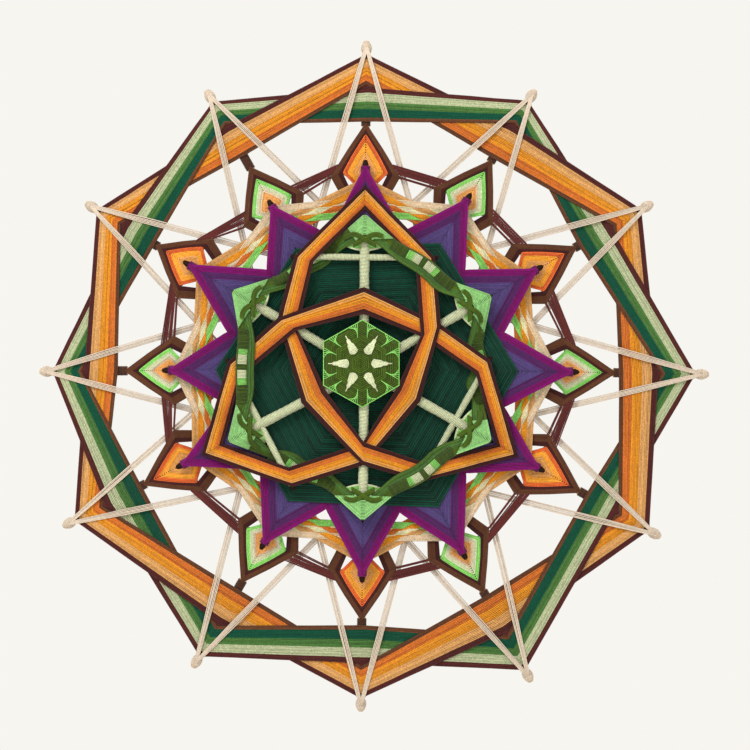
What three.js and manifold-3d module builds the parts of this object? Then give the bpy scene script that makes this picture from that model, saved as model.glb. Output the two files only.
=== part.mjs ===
// Twelve-pointed yarn mandala, millimetres, +Z up, front towards -Y.
// A place is given by hour (0 to 12, clockwise from the front), radius and depth in front of the wall.
import * as THREE from "three";
import { mergeVertices } from "three/addons/utils/BufferGeometryUtils.js";
import Module from "manifold-3d";

const wasm = await Module();
wasm.setup();

// Stock and fit
const YARN = 1.1; // thickness of one layer of wound yarn
const FIT = 0.3; // clearance between touching pieces
const FRAME_R = 3; // long sticks
const STAR_R = 2.5; // star sticks
const BAR_R = 1.5; // petal bars
const CROSS_R = 3.9; // cross sticks with their wrapping
const CROSSBAR_R = 2.6; // crossbars with their wrapping
const SIDES = 8; // of a stick
const WRAP_SIDES = 6; // of the yarn round a stick

// How far each spoke reaches and leans, by hour from 12 clockwise: the piece is laid by hand
const REACH = [262.9, 262.4, 266.9, 276.2, 273.1, 284.2, 274.4, 275.8, 272.2, 260, 259.6, 256.7];
const LEAN = [0.5, 1.7, 0.1, 1, -0.5, 2.1, 0.6, -0.2, 2.7, -0.5, 0.9, 0.6];
const STRAIGHT = 30; // the sticks are straight within this radius
const HUB = 22; // flat crossing at the centre
const BOW = 90; // beyond this radius the two layers of sticks lie level

// Outer hexagons
const BALL_R = 4.65;
const BALL_LENGTH = 12;
const VERTEX_BACK = 11.2; // from the end of the spoke to the hexagon's point
// Where a side passes a spoke, by hour from twelve
const MID_OUT = [225, 228, 227.3, 235.3, 231.3, 239, 235, 234, 233.5, 223.3, 224, 222.4];
const MID_IN = [198, 197.6, 198, 204, 204, 205.8, 205, 202.9, 201, 197, 195, 195.8];
const WINDOW = 2.9; // gap left inside each point, before the other hexagon's side
const RIM_SHARE = 0.12;
const EDGE_SHARE = 0.11;
const STEP_SHARE = 0.055; // share of a side in which it changes between over and under

// Cream runs
const STRAND_WIDTH = 5.2;
const STRAND_IN = 98;

// Petals and their border
const BAR_AT = [156.7, 156, 156, 161.8, 157.8, 162.7, 162.4, 157.3, 160.9, 155.1, 160.9, 149.8];
const BAR_MEAN = 157;
const BAR_HALF = 21;
// Outer points of the eyes, by hour from twelve
const EYE_AT = [188.4, 185.6, 185.6, 191, 189.3, 192.9, 190.9, 186.4, 190.9, 180.7, 184.7, 175.1];
const EYE_DEEP = 17.8; // from the bar to the inner point
const EYE_HALF = 18;
const BORDER = 4.8;
const BORDER_PEAK = 11; // of the border beyond the eye's outer point
const LEG_IN = 112;
const LINK_HALF = 5.5;

// Braid behind the star
const BRAID_BACK = 6; // from the petal bar in to the braid's point, on average
const BRAID_WIDTH = 11.2;
const BRAID_MID = 135;

// Star
const STAR_AT = [162.2, 159.3, 160, 167, 161, 167.8, 165.8, 161.3, 164.7, 156.4, 163, 150.2]; // points
const STAR_TIP = 162;
const STAR_STICK_OUT = 4; // bare end beyond the winding
const STAR_BAND = 5.8;
const STAR_CORE = 60; // distance of the innermost winding from the centre

// Field, cross, knot, cords and eye
const FIELD_AT = [117, 122.7, 125, 121.3, 118, 110]; // points at 1, 3, 5, 7, 9 and 11
const FIELD_RISE = 1.1;
const CROSS_REACH = 109;
const CROSSBAR_AT = [88.5, 83, 92.8]; // at 12, 4 and 8
const CROSSBAR_HALF = 58;
const SHOULDER = 55.5; // of the knot, beside the spoke
const KNOT_TIP = [146, 140.7, 146]; // at 12, 4 and 8
const KNOT_BEND = [64.7, 51.3, 56];
const KNOT_TURN = [70, 76, 78.8]; // at 2, 6 and 10
const TIP_WIDTH = 19.5;
const BEND_WIDTH = 21.3;
const TURN_WIDTH = 18;
const SHOULDER_WIDTH = [15, 4]; // across and along the spoke
const KNOT_THICK = 1.5;
const CORD_POINT = [122.6, 116.7, 116.2, 120.2, 122, 121.3]; // at the even hours
const CORD_DEEP = 18.5; // of the cord's yarn along a spoke
const CORD_FALL = 0.86; // slope of the outer edge beside a spoke
const CORD_DRAW = 0.78; // slope of the inner edge
const CORD_MID = 94.5;
const CORD_WIDTH = 15;
const CORD_THICK = 1.6;
const CENTRE = [-3, 5.8]; // the eye sits a little off the crossing
const CENTRE_R = 34;
const CENTRE_RIM = 2;
const CENTRE_RISE = 4.2;

// Depths, added up from the wall
const FRAME_BACK = FRAME_R;
const FRAME_FRONT = FRAME_BACK + 2 * FRAME_R + FIT;
const FRAME_TIP = (FRAME_BACK + FRAME_FRONT) / 2;
const ON_FRAME = FRAME_TIP + FRAME_R + FIT;
const WEAVE = (YARN + FIT) / 2;
const BAND_LEVEL = ON_FRAME + WEAVE;
const ON_BAND = BAND_LEVEL + WEAVE + YARN + FIT;
const BAR_LEVEL = ON_FRAME + BAR_R;
const ON_BAR = BAR_LEVEL + BAR_R + FIT;
const BRAID_LEVEL = ON_BAR + YARN + WEAVE + FIT / 2;
const STAR_LEVEL = BRAID_LEVEL + YARN + STAR_R + 3 * FIT;
const STAR_BACK = FRAME_FRONT + FRAME_R + FIT + STAR_R;
const STAR_FRONT = STAR_BACK + 2 * STAR_R + FIT;
const ON_STAR = STAR_LEVEL + STAR_R + FIT;
const FIELD_LEVEL = Math.max(ON_STAR + YARN, STAR_FRONT + STAR_R) + FIT;
const ON_FIELD = FIELD_LEVEL + YARN + FIT;
const CROSS_LEVEL = ON_FIELD + Math.max(CORD_THICK, FIELD_RISE) + FIT + CROSS_R;
const ON_CROSS = CROSS_LEVEL + CROSS_R + FIT;
const ON_CROSSBAR = CROSS_LEVEL + CROSSBAR_R + FIT;
const KNOT_OVER = ON_CROSS + KNOT_THICK + FIT;
const CORD_OVER = ON_CROSSBAR + KNOT_THICK + FIT;

const group = new THREE.Group();

// Places

function lean(hour) {
  const turn = ((hour % 12) + 12) % 12;
  const first = Math.floor(turn);
  const share = turn - first;
  return LEAN[first] * (1 - share) + LEAN[(first + 1) % 12] * share;
}

function flat(hour, radius) {
  const hold = Math.max(0, 1 - STRAIGHT / Math.max(radius, 1));
  const angle = THREE.MathUtils.degToRad(hour * 30 + lean(hour) * hold);
  return new THREE.Vector2(radius * Math.sin(angle), radius * Math.cos(angle));
}

function place(point, depth) {
  return new THREE.Vector3(point.x, -depth, point.y);
}

// A point beside a spoke: out along it by radius, across it by offset
function beside(hour, radius, offset) {
  const at = flat(hour, radius);
  const along = flat(hour, radius + 1).sub(flat(hour, radius - 1)).normalize();
  return new THREE.Vector2(at.x + along.y * offset, at.y - along.x * offset);
}

function bowed(centre, tip, radius) {
  const share = THREE.MathUtils.clamp((radius - HUB) / (BOW - HUB), 0, 1);
  return tip + (centre - tip) * (0.5 + 0.5 * Math.cos(Math.PI * share));
}

// Value for an hour from a list that starts at hour first and has one entry every step hours
function at(list, hour, first = 0, step = 1) {
  return list[((((hour - first) % 12) + 12) % 12) / step];
}

function reach(hour) {
  return at(REACH, hour);
}

// Solids

function solid(geometry) {
  const bare = new THREE.BufferGeometry();
  bare.setAttribute("position", geometry.getAttribute("position"));
  bare.setIndex(geometry.getIndex());
  const merged = mergeVertices(bare, 1e-4);
  const body = {
    numProp: 3,
    vertProperties: merged.getAttribute("position").array,
    triVerts: new Uint32Array(merged.getIndex().array),
  };
  return new wasm.Manifold(new wasm.Mesh(body));
}

function surface(points, faces) {
  let volume = 0;
  for (const [a, b, c] of faces) {
    volume += points[a].dot(new THREE.Vector3().crossVectors(points[b], points[c]));
  }
  const turned = volume < 0 ? faces.map(([a, b, c]) => [a, c, b]) : faces;
  const geometry = new THREE.BufferGeometry().setFromPoints(points);
  geometry.setIndex(turned.flat());
  return solid(geometry);
}

// A skin over rings of equal count: closed into a loop, or capped at both ends
function loft(rings, loop) {
  const n = rings[0].length;
  const faces = [];
  const last = loop ? rings.length : rings.length - 1;
  for (let i = 0; i < last; i++) {
    const here = i * n;
    const next = ((i + 1) % rings.length) * n;
    for (let j = 0; j < n; j++) {
      const k = (j + 1) % n;
      faces.push([here + j, here + k, next + k], [here + j, next + k, next + j]);
    }
  }
  if (!loop) {
    const end = (rings.length - 1) * n;
    for (let j = 1; j < n - 1; j++) {
      faces.push([0, j + 1, j], [end, end + j, end + j + 1]);
    }
  }
  return surface(rings.flat(), faces);
}

// A flat ribbon through stations { inner, outer, depth }
function ribbon(stations, thick, loop) {
  const rings = stations.map(({ inner, outer, depth }) => [
    place(inner, depth),
    place(outer, depth),
    place(outer, depth + thick),
    place(inner, depth + thick),
  ]);
  return loft(rings, loop);
}

// A section whose flats lie at the given radius, one to the front, upright across the line of travel
function section(point, depth, across, radius, sides) {
  const ring = [];
  for (let i = 0; i < sides; i++) {
    const angle = ((i + 0.5) / sides + 0.25) * 2 * Math.PI;
    const corner = radius / Math.cos(Math.PI / sides);
    const side = across.clone().multiplyScalar(corner * Math.cos(angle));
    ring.push(place(point.clone().add(side), depth + corner * Math.sin(angle)));
  }
  return ring;
}

function rod(stations, sides = SIDES) {
  const rings = stations.map((s, i) => {
    const before = stations[Math.max(i - 1, 0)].point;
    const after = stations[Math.min(i + 1, stations.length - 1)].point;
    const along = after.clone().sub(before).normalize();
    return section(s.point, s.depth, new THREE.Vector2(along.y, -along.x), s.radius, sides);
  });
  return loft(rings, false);
}

function sleeve(from, to, depth, bore) {
  const along = to.clone().sub(from).normalize();
  const ends = (radius, more) => [
    { point: from.clone().addScaledVector(along, -more), depth, radius },
    { point: to.clone().addScaledVector(along, more), depth, radius },
  ];
  return rod(ends(bore + YARN, 0), WRAP_SIDES).subtract(rod(ends(bore, 1), WRAP_SIDES));
}

// A block along a line of travel, used for cutting
function block(centre, along, half, width, low, high) {
  const across = new THREE.Vector2(along.y, -along.x).multiplyScalar(width);
  const stations = [-half, half].map((t) => {
    const at = centre.clone().addScaledVector(along, t);
    const sides = { inner: at.clone().sub(across), outer: at.clone().add(across) };
    return { ...sides, depth: low };
  });
  return ribbon(stations, high - low, false);
}

function piece(name, body, colour, roughness = 0.9) {
  const mesh = body.getMesh();
  const geometry = new THREE.BufferGeometry();
  geometry.setAttribute("position", new THREE.BufferAttribute(mesh.vertProperties, 3));
  geometry.setIndex(new THREE.BufferAttribute(mesh.triVerts, 1));
  geometry.computeVertexNormals();
  const material = new THREE.MeshStandardMaterial({ color: colour, roughness, metalness: 0 });
  const made = new THREE.Mesh(geometry, material);
  made.name = name;
  group.add(made);
}

function hourName(hour) {
  const turn = ((hour % 12) + 12) % 12;
  return String(turn === 0 ? 12 : turn);
}

// Sticks

// A stick from hour to hour + 6, with its layer of the three-way lap at the centre
function stick(hour, centre, tip, radius, ends, layer, taper) {
  const half = (side, out) => {
    const radii = [HUB, (2 * HUB + BOW) / 3, (HUB + 2 * BOW) / 3, BOW, out];
    const stations = radii.map((r) => {
      return { point: flat(side, r), depth: bowed(centre, tip, r), radius };
    });
    if (taper) {
      const end = { point: flat(side, out + radius), depth: tip, radius: radius * taper };
      stations.push(end);
    }
    return stations;
  };
  const far = half(hour + 6, ends[1]).reverse();
  const body = rod([...far, ...half(hour, ends[0])]);
  const angle = THREE.MathUtils.degToRad(hour * 30);
  const along = new THREE.Vector2(Math.sin(angle), Math.cos(angle));
  const third = (2 * radius) / 3;
  const low = centre - radius + layer * third;
  const notch = Math.sqrt(3) * radius + 2 * FIT;
  const hub = new THREE.Vector2(0, 0);
  const wide = 2 * radius;
  let kept = body;
  if (layer > 0) {
    kept = kept.subtract(block(hub, along, notch, wide, centre - wide, low + FIT / 2));
  }
  if (layer < 2) {
    kept = kept.subtract(block(hub, along, notch, wide, low + third - FIT / 2, centre + wide));
  }
  return kept;
}

const TIMBER = 0xc9a878;
for (let hour = 0; hour < 6; hour++) {
  const name = hourName(hour) + "_" + hourName(hour + 6);
  const layer = Math.floor(hour / 2);
  const odd = hour % 2;
  const inBall = BALL_LENGTH / 2;
  const ends = [reach(hour) - inBall, reach(hour + 6) - inBall];
  const level = odd ? FRAME_FRONT : FRAME_BACK;
  piece("frame_stick_" + name, stick(hour, level, FRAME_TIP, FRAME_R, ends, layer), TIMBER);
  const high = odd ? STAR_FRONT : STAR_BACK;
  const out = [hour, hour + 6].map((h) => at(STAR_AT, h) + STAR_STICK_OUT - STAR_R);
  const star = stick(hour, high, STAR_LEVEL, STAR_R, out, layer, 0.6);
  piece("star_stick_" + name, star, 0x4a3426);
}

// Rings of twelve stations with a fast change of level beside each spoke

// Stations round a twelve-cornered ring; raised gives the side on which this ring passes over
function weave(corner, level, raised) {
  const stations = [];
  for (let hour = 0; hour < 12; hour++) {
    const here = corner(hour);
    const next = corner(hour + 1);
    const over = (hour % 2 === 0) === raised ? WEAVE : -WEAVE;
    stations.push({ ...here, depth: level });
    for (const share of [STEP_SHARE, 1 - STEP_SHARE]) {
      const inner = here.inner.clone().lerp(next.inner, share);
      const outer = here.outer.clone().lerp(next.outer, share);
      stations.push({ inner, outer, depth: level + over });
    }
  }
  return stations;
}

function hexagonRadii(hour, own) {
  if (((hour % 2) + 2) % 2 === own) {
    return [at(MID_OUT, hour) + WINDOW, reach(hour) - VERTEX_BACK];
  }
  return [at(MID_IN, hour), at(MID_OUT, hour)];
}

function hexagon(own, low, high) {
  const corner = (hour) => {
    const [a, b] = hexagonRadii(hour, own);
    const inner = flat(hour, a + (b - a) * low);
    return { inner, outer: flat(hour, a + (b - a) * high) };
  };
  return ribbon(weave(corner, BAND_LEVEL, own === 1), YARN, true);
}

const HEXAGONS = [
  ["outer_hexagon_warm", 0xf0941f],
  ["outer_hexagon_green", 0x3f7f3a],
];
HEXAGONS.forEach(([name, colour], own) => {
  const seam = FIT / 25;
  let band = hexagon(own, EDGE_SHARE + seam, 1 - RIM_SHARE - seam);
  for (let hour = own; hour < 12; hour += 2) {
    const [a, b] = hexagonRadii(hour, own);
    const from = flat(hour, a + (b - a) * 0.25);
    const to = flat(hour, a + (b - a) * 0.75);
    band = band.add(sleeve(from, to, FRAME_TIP, FRAME_R + FIT));
  }
  piece(name + "_rim", hexagon(own, 1 - RIM_SHARE, 1), 0x3d1420);
  piece(name + "_band", band, colour);
  piece(name + "_edge", hexagon(own, 0, EDGE_SHARE), 0x5a3a22);
});

// Cream runs with the wound ends of the sticks

function ball(hour) {
  const profile = [];
  for (let i = 0; i <= 5; i++) {
    const angle = (i / 5) * Math.PI;
    const across = i % 5 === 0 ? 0 : BALL_R * Math.sin(angle);
    profile.push(new THREE.Vector2(across, -0.5 * BALL_LENGTH * Math.cos(angle)));
  }
  const shape = new THREE.LatheGeometry(profile, SIDES);
  const along = flat(hour, reach(hour)).sub(flat(hour, reach(hour) - 5)).normalize();
  const middle = place(flat(hour, reach(hour) - BALL_LENGTH / 2), FRAME_TIP);
  const axis = new THREE.Vector3(along.x, 0, along.y);
  const turn = new THREE.Quaternion().setFromUnitVectors(new THREE.Vector3(0, 1, 0), axis);
  shape.applyQuaternion(turn);
  shape.translate(middle.x, middle.y, middle.z);
  const radius = FRAME_R + FIT;
  const bore = rod([
    { point: flat(hour, reach(hour) - 2 * BALL_LENGTH), depth: FRAME_TIP, radius },
    { point: flat(hour, reach(hour) - BALL_LENGTH / 2 + FIT), depth: FRAME_TIP, radius },
  ]);
  return solid(shape).subtract(bore);
}

function strand(hour, side, crossing) {
  const start = flat(hour, reach(hour) - BALL_LENGTH * 0.45);
  const end = flat(hour + side, STRAND_IN);
  const along = end.clone().sub(start).normalize();
  const across = new THREE.Vector2(along.y, -along.x).multiplyScalar(STRAND_WIDTH / 2);
  const steps = [
    [0, FRAME_TIP + FRAME_R + FIT],
    [0.04, ON_BAND],
    [0.46, ON_BAND],
    [0.58, crossing],
    [0.78, crossing],
    [0.9, ON_FRAME],
    [1, ON_FRAME],
  ];
  const stations = steps.map(([share, depth]) => {
    const at = start.clone().lerp(end, share);
    return { inner: at.clone().sub(across), outer: at.clone().add(across), depth };
  });
  return ribbon(stations, YARN, false);
}

["even", "odd"].forEach((name, own) => {
  const crossing = FRAME_TIP + (own === 0 ? YARN + FIT : 0);
  const parts = [];
  for (let hour = own; hour < 12; hour += 2) {
    parts.push(ball(hour), strand(hour, 1, crossing), strand(hour, -1, crossing));
    const from = flat(hour + 1, STRAND_IN - STRAND_WIDTH);
    const to = flat(hour + 1, STRAND_IN + STRAND_WIDTH);
    parts.push(sleeve(from, to, FRAME_TIP, FRAME_R + 2 * FIT));
  }
  piece("cream_run_" + name, wasm.Manifold.union(parts), 0xefe2d2);
});

// Petals

for (let hour = 0; hour < 12; hour++) {
  const name = hourName(hour);
  const bars = at(BAR_AT, hour);
  const side = (offset) => beside(hour, bars, offset);
  const bar = [-BAR_HALF, BAR_HALF].map((t) => {
    return { point: side(t), depth: BAR_LEVEL, radius: BAR_R };
  });
  piece("petal_bar_" + name, rod(bar), TIMBER);
  const corners = [
    [flat(hour, at(EYE_AT, hour)), ON_FRAME],
    [side(EYE_HALF), ON_BAR],
    [flat(hour, bars - EYE_DEEP), ON_FRAME],
    [side(-EYE_HALF), ON_BAR],
    [side(0), ON_BAR],
  ];
  const back = corners.map(([at, depth]) => place(at, depth));
  const front = corners.map(([at, depth]) => place(at, depth + YARN));
  const faces = [];
  for (let i = 0; i < 4; i++) {
    const j = (i + 1) % 4;
    faces.push([4, j, i], [9, 5 + i, 5 + j], [i, j, 5 + j], [i, 5 + j, 5 + i]);
  }
  let eye = surface([...back, ...front], faces);
  for (const way of [-1, 1]) {
    const wrap = [side(way * 5), side(way * 10)];
    eye = eye.add(sleeve(wrap[0], wrap[1], BAR_LEVEL, BAR_R + FIT));
  }
  piece("petal_eye_" + name, eye, hour % 2 ? 0x7cc36a : 0xe9862c);
}

const links = [];
for (let hour = 0; hour < 12; hour++) {
  const bars = at(BAR_AT, hour);
  const eye = at(EYE_AT, hour);
  const slope = Math.hypot(eye - bars, EYE_HALF) / EYE_HALF;
  const wide = EYE_HALF + FIT + BORDER;
  const corner = (way) => ({
    inner: beside(hour, bars, way * (EYE_HALF + 2 * FIT)),
    outer: beside(hour, bars + FIT, way * wide),
    depth: ON_BAR,
  });
  const peak = Math.min(eye + BORDER_PEAK, at(MID_IN, hour) - 4 * FIT);
  const top = {
    inner: flat(hour, eye + FIT * slope),
    outer: flat(hour, peak),
    depth: ON_FRAME,
  };
  const leg = {
    inner: flat(hour, LEG_IN + 2 * BORDER),
    outer: flat(hour, LEG_IN),
    depth: ON_FRAME + FIT,
  };
  links.push(ribbon([top, corner(1), leg, corner(-1)], YARN, true));
  const end = (h, offset) => ({
    inner: beside(h, at(BAR_AT, h) - LINK_HALF, offset),
    outer: beside(h, at(BAR_AT, h) + LINK_HALF, offset),
  });
  const run = [end(hour, wide - BORDER), end(hour + 1, BORDER - wide)];
  links.push(ribbon(run.map((s) => ({ ...s, depth: ON_BAR })), YARN, false));
}
piece("petal_border", wasm.Manifold.union(links), 0x4a1f24);

// Braid behind the star

function braidPoint(hour) {
  return (at(BAR_AT, hour) + BAR_MEAN) / 2 - BRAID_BACK;
}

["braid_warm", "braid_green"].forEach((name, own) => {
  const corner = (hour) => {
    const outer = ((hour % 2) + 2) % 2 === own ? braidPoint(hour) : BRAID_MID;
    return { inner: flat(hour, outer - BRAID_WIDTH), outer: flat(hour, outer) };
  };
  const body = ribbon(weave(corner, BRAID_LEVEL, own === 1), YARN, true);
  piece(name, body, own ? 0x9fd08a : 0xeda24a);
});

// Star windings: a twelve-pointed star whose sides join every fourth point

function star(outer, inner) {
  const stations = [];
  for (let i = 0; i < 24; i++) {
    const near = [Math.floor(i / 2), Math.ceil(i / 2)].map((h) => at(STAR_AT, h) / STAR_TIP);
    const stretch = ((i % 2 ? Math.SQRT2 : 2) * (near[0] + near[1])) / 2;
    stations.push({
      inner: flat(i / 2, inner * stretch),
      outer: flat(i / 2, outer * stretch),
      depth: ON_STAR,
    });
  }
  return ribbon(stations, YARN, true);
}

const BANDS = [
  ["star_purple", 0x7e1278],
  ["star_indigo", 0x43285c],
  ["star_blue", 0x4a4690],
];
BANDS.forEach(([name, colour], i) => {
  const outer = STAR_TIP / 2 - i * STAR_BAND;
  const inner = i === 2 ? STAR_CORE : outer - STAR_BAND + FIT;
  let body = star(outer, inner);
  for (let hour = 0; hour < 12; hour++) {
    const tip = at(STAR_AT, hour);
    const low = Math.max((inner * 2 * tip) / STAR_TIP, braidPoint(hour)) + 2 * FIT;
    const from = flat(hour, low);
    const to = flat(hour, Math.min(low + STAR_BAND, tip - FIT));
    body = i === 0 ? body.add(sleeve(from, to, STAR_LEVEL, STAR_R + FIT)) : body;
  }
  piece(name, body, colour);
});

// Dark green field

{
  const points = [place(new THREE.Vector2(0, 0), FIELD_LEVEL)];
  points.push(place(new THREE.Vector2(0, 0), FIELD_LEVEL + YARN + FIELD_RISE));
  const faces = [];
  for (let hour = 0; hour < 12; hour++) {
    const near = [hour - 1 + (hour % 2), hour + 1 - (hour % 2)].map((h) => at(FIELD_AT, h, 1, 2));
    const rim = flat(hour, ((near[0] + near[1]) / 2) * (hour % 2 ? 1 : Math.cos(Math.PI / 6)));
    points.push(place(rim, FIELD_LEVEL), place(rim, FIELD_LEVEL + YARN));
    const a = 2 + 2 * hour;
    const b = 2 + 2 * ((hour + 1) % 12);
    faces.push([0, b, a], [1, a + 1, b + 1], [a, b, b + 1], [a, b + 1, a + 1]);
  }
  piece("green_field", surface(points, faces), 0x05402c);
}

// Cross of three wrapped sticks with a bar near one end of each

for (let i = 0; i < 3; i++) {
  const hour = 4 * i;
  const bars = CROSSBAR_AT[i];
  const barEnd = (way) => beside(hour, bars, way * CROSSBAR_HALF);
  const along = barEnd(1).sub(barEnd(-1)).normalize();
  const middle = flat(hour, bars);
  const out = flat(hour, bars + 1).sub(flat(hour, bars - 1)).normalize();
  const deep = 3 * CROSS_R;
  const lapIn = CROSS_LEVEL - FIT / 2;
  const lapOut = CROSS_LEVEL + FIT / 2;
  const across = [-1, 1].map((way) => {
    return { point: barEnd(way), depth: CROSS_LEVEL, radius: CROSSBAR_R };
  });
  const seat = block(middle, along, CROSS_R + FIT, deep, lapIn, lapIn + deep);
  piece("crossbar_" + hourName(hour), rod(across).subtract(seat), 0xe6e3c4);
  const stations = [CROSS_REACH, HUB].map((r) => flat(hour, r));
  stations.push(...[HUB, CROSS_REACH].map((r) => flat(hour + 6, r)));
  const arm = rod(stations.map((point) => ({ point, depth: CROSS_LEVEL, radius: CROSS_R })));
  const slot = block(middle, out, CROSSBAR_R + FIT, deep, lapOut - deep, lapOut);
  const angle = THREE.MathUtils.degToRad(hour * 30);
  const line = new THREE.Vector2(Math.sin(angle), Math.cos(angle));
  const third = (2 * CROSS_R) / 3;
  const low = CROSS_LEVEL - CROSS_R + i * third;
  const notch = Math.sqrt(3) * CROSS_R + 2 * FIT;
  const hub = new THREE.Vector2(0, 0);
  let body = arm.subtract(slot);
  if (i > 0) {
    body = body.subtract(block(hub, line, notch, deep, low - deep, low + FIT / 2));
  }
  if (i < 2) {
    body = body.subtract(block(hub, line, notch, deep, low + third - FIT / 2, low + 2 * deep));
  }
  piece("cross_stick_" + hourName(hour) + "_" + hourName(hour + 6), body, 0xe6e3c4);
}

// Knot: one band that passes three points and crosses itself three times
const knotCorners = []; // both edges of the band at each corner
for (let i = 0; i < 3; i++) {
  const hour = 8 * i;
  const spoke = (h, list, first, width) => {
    const out = at(list, h, first, 4);
    return { outer: flat(h, out), inner: flat(h, out - width) };
  };
  const shoulder = (h, way) => {
    const bars = at(CROSSBAR_AT, h, 0, 4);
    const narrow = SHOULDER - SHOULDER_WIDTH[0];
    const inner = beside(h, bars - SHOULDER_WIDTH[1], way * narrow);
    return { outer: beside(h, bars, way * SHOULDER), inner };
  };
  knotCorners.push(
    spoke(hour, KNOT_TIP, 0, TIP_WIDTH),
    shoulder(hour, 1),
    spoke(hour + 2, KNOT_TURN, 2, TURN_WIDTH),
    spoke(hour + 4, KNOT_BEND, 0, BEND_WIDTH),
    spoke(hour + 6, KNOT_TURN, 2, TURN_WIDTH),
    shoulder(hour + 8, -1),
  );
}

// Share of the way to the next corner and depth, for the six sides of one third of the knot
const TIP_LEVEL = ON_STAR + YARN + FIT;
const KNOT_LEVELS = [
  [[0, TIP_LEVEL], [0.35, TIP_LEVEL + 2], [0.62, ON_CROSSBAR]],
  [[0, ON_CROSSBAR], [0.55, ON_CROSSBAR], [0.78, KNOT_OVER]],
  [[0, KNOT_OVER], [0.35, KNOT_OVER]],
  [[0, (ON_CROSS + KNOT_OVER) / 2], [0.6, ON_CROSS]],
  [[0, ON_CROSS], [0.4, ON_CROSS]],
  [[0, ON_CROSSBAR], [0.38, ON_CROSSBAR], [0.8, ON_FIELD + CORD_THICK + FIT]],
];
{
  const count = knotCorners.length;
  const stations = [];
  for (let i = 0; i < count; i++) {
    const here = knotCorners[i];
    const next = knotCorners[(i + 1) % count];
    for (const [share, depth] of KNOT_LEVELS[i % 6]) {
      const outer = here.outer.clone().lerp(next.outer, share);
      stations.push({ inner: here.inner.clone().lerp(next.inner, share), outer, depth });
    }
  }
  piece("knot_band", ribbon(stations, KNOT_THICK, true), 0xf0941f);
}

// Green cords: over the knot after 12, 4 and 8 o'clock, under it before them

{
  const stations = [];
  // Yarn that dives keeps outside the crossbar until it lies below it
  const station = (hour, offset, depth, outside) => {
    const point = at(CORD_POINT, hour, 0, 2);
    const away = Math.abs(offset);
    const low = point - CORD_DEEP - CORD_DRAW * away;
    const bar = hour % 4 ? 0 : at(CROSSBAR_AT, hour, 0, 4) + CROSSBAR_R + 2 * FIT;
    return {
      inner: beside(hour, outside ? Math.max(low, bar) : low, offset),
      outer: beside(hour, point - CORD_FALL * away, offset),
      depth,
    };
  };
  const half = CORD_WIDTH / 2;
  const OVER = [[4.5, ON_CROSS], [12, ON_CROSS + FIT], [25, CORD_OVER]];
  const UNDER = [[4.5, ON_CROSS], [12, 31, true], [22, 26, true], [30, 25.4]];
  for (let hour = 0; hour < 12; hour += 2) {
    const over = hour % 4 === 0;
    const steps = over ? OVER : UNDER;
    stations.push(station(hour, 0, ON_CROSS));
    steps.forEach(([offset, ...rest]) => stations.push(station(hour, offset, ...rest)));
    stations.push({
      inner: flat(hour + 1, CORD_MID - half),
      outer: flat(hour + 1, CORD_MID + half),
      depth: over ? CORD_OVER : ON_FIELD,
    });
    const back = [...steps].reverse();
    back.forEach(([offset, ...rest]) => stations.push(station(hour + 2, -offset, ...rest)));
  }
  piece("cord_hexagon", ribbon(stations, CORD_THICK, true), 0x6aa84f);
}

// Centre eye

{
  const middle = new THREE.Vector2(...CENTRE);
  const points = [place(middle, ON_CROSS)];
  points.push(place(middle, ON_CROSS + CENTRE_RIM + CENTRE_RISE));
  const faces = [];
  for (let i = 0; i < 6; i++) {
    const rim = flat(2 * i, CENTRE_R).add(middle);
    const shoulder = flat(2 * i, CENTRE_R * 0.55).add(middle);
    const bulge = ON_CROSS + CENTRE_RIM + CENTRE_RISE * 0.62;
    points.push(place(rim, ON_CROSS), place(rim, ON_CROSS + CENTRE_RIM), place(shoulder, bulge));
    const a = 2 + 3 * i;
    const b = 2 + 3 * ((i + 1) % 6);
    faces.push([0, b, a], [a, b, b + 1], [a, b + 1, a + 1]);
    faces.push([a + 1, b + 1, b + 2], [a + 1, b + 2, a + 2], [1, a + 2, b + 2]);
  }
  piece("centre_eye", surface(points, faces), 0x3c4e1c);
}

export default group;
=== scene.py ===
"""Looks of a twelve-pointed yarn mandala: every yarn course is laid as a thread round its sticks.

Lengths are millimetres until a mesh is made, and metres in the meshes. A place is given by hour
(clockwise from the front), radius from the crossing of the sticks, and depth in front of the wall.
"""

import logging
import math
from dataclasses import dataclass
from enum import Enum
from typing import Iterable, Sequence

import bpy
import numpy as np
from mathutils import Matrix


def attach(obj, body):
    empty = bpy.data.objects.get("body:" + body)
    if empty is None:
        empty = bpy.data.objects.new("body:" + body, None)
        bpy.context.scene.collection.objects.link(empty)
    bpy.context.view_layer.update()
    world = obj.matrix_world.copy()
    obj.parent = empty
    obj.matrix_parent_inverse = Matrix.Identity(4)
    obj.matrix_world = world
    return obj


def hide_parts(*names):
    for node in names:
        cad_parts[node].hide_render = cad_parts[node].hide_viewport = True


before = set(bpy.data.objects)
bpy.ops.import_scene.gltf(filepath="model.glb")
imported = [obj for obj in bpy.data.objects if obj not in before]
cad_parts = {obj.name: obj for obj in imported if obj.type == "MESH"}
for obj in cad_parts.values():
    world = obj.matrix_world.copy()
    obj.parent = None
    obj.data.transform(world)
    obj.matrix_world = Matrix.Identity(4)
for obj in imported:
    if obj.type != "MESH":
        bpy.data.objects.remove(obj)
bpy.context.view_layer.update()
LOG = logging.getLogger("mandala")
MM = 0.001
FRONT = np.array([0.0, -1.0, 0.0])
# Hand-laid yarn strays by about this much
SHAKE = 0.08
Point = np.ndarray
Path = list[np.ndarray]
Row = tuple[float, ...]
Pair = tuple[float, float]
Tree = bpy.types.NodeTree
Node = bpy.types.Node


class Side(Enum):
    """The two families of spokes and of the windings on them."""

    EVEN = 0
    ODD = 1


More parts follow.
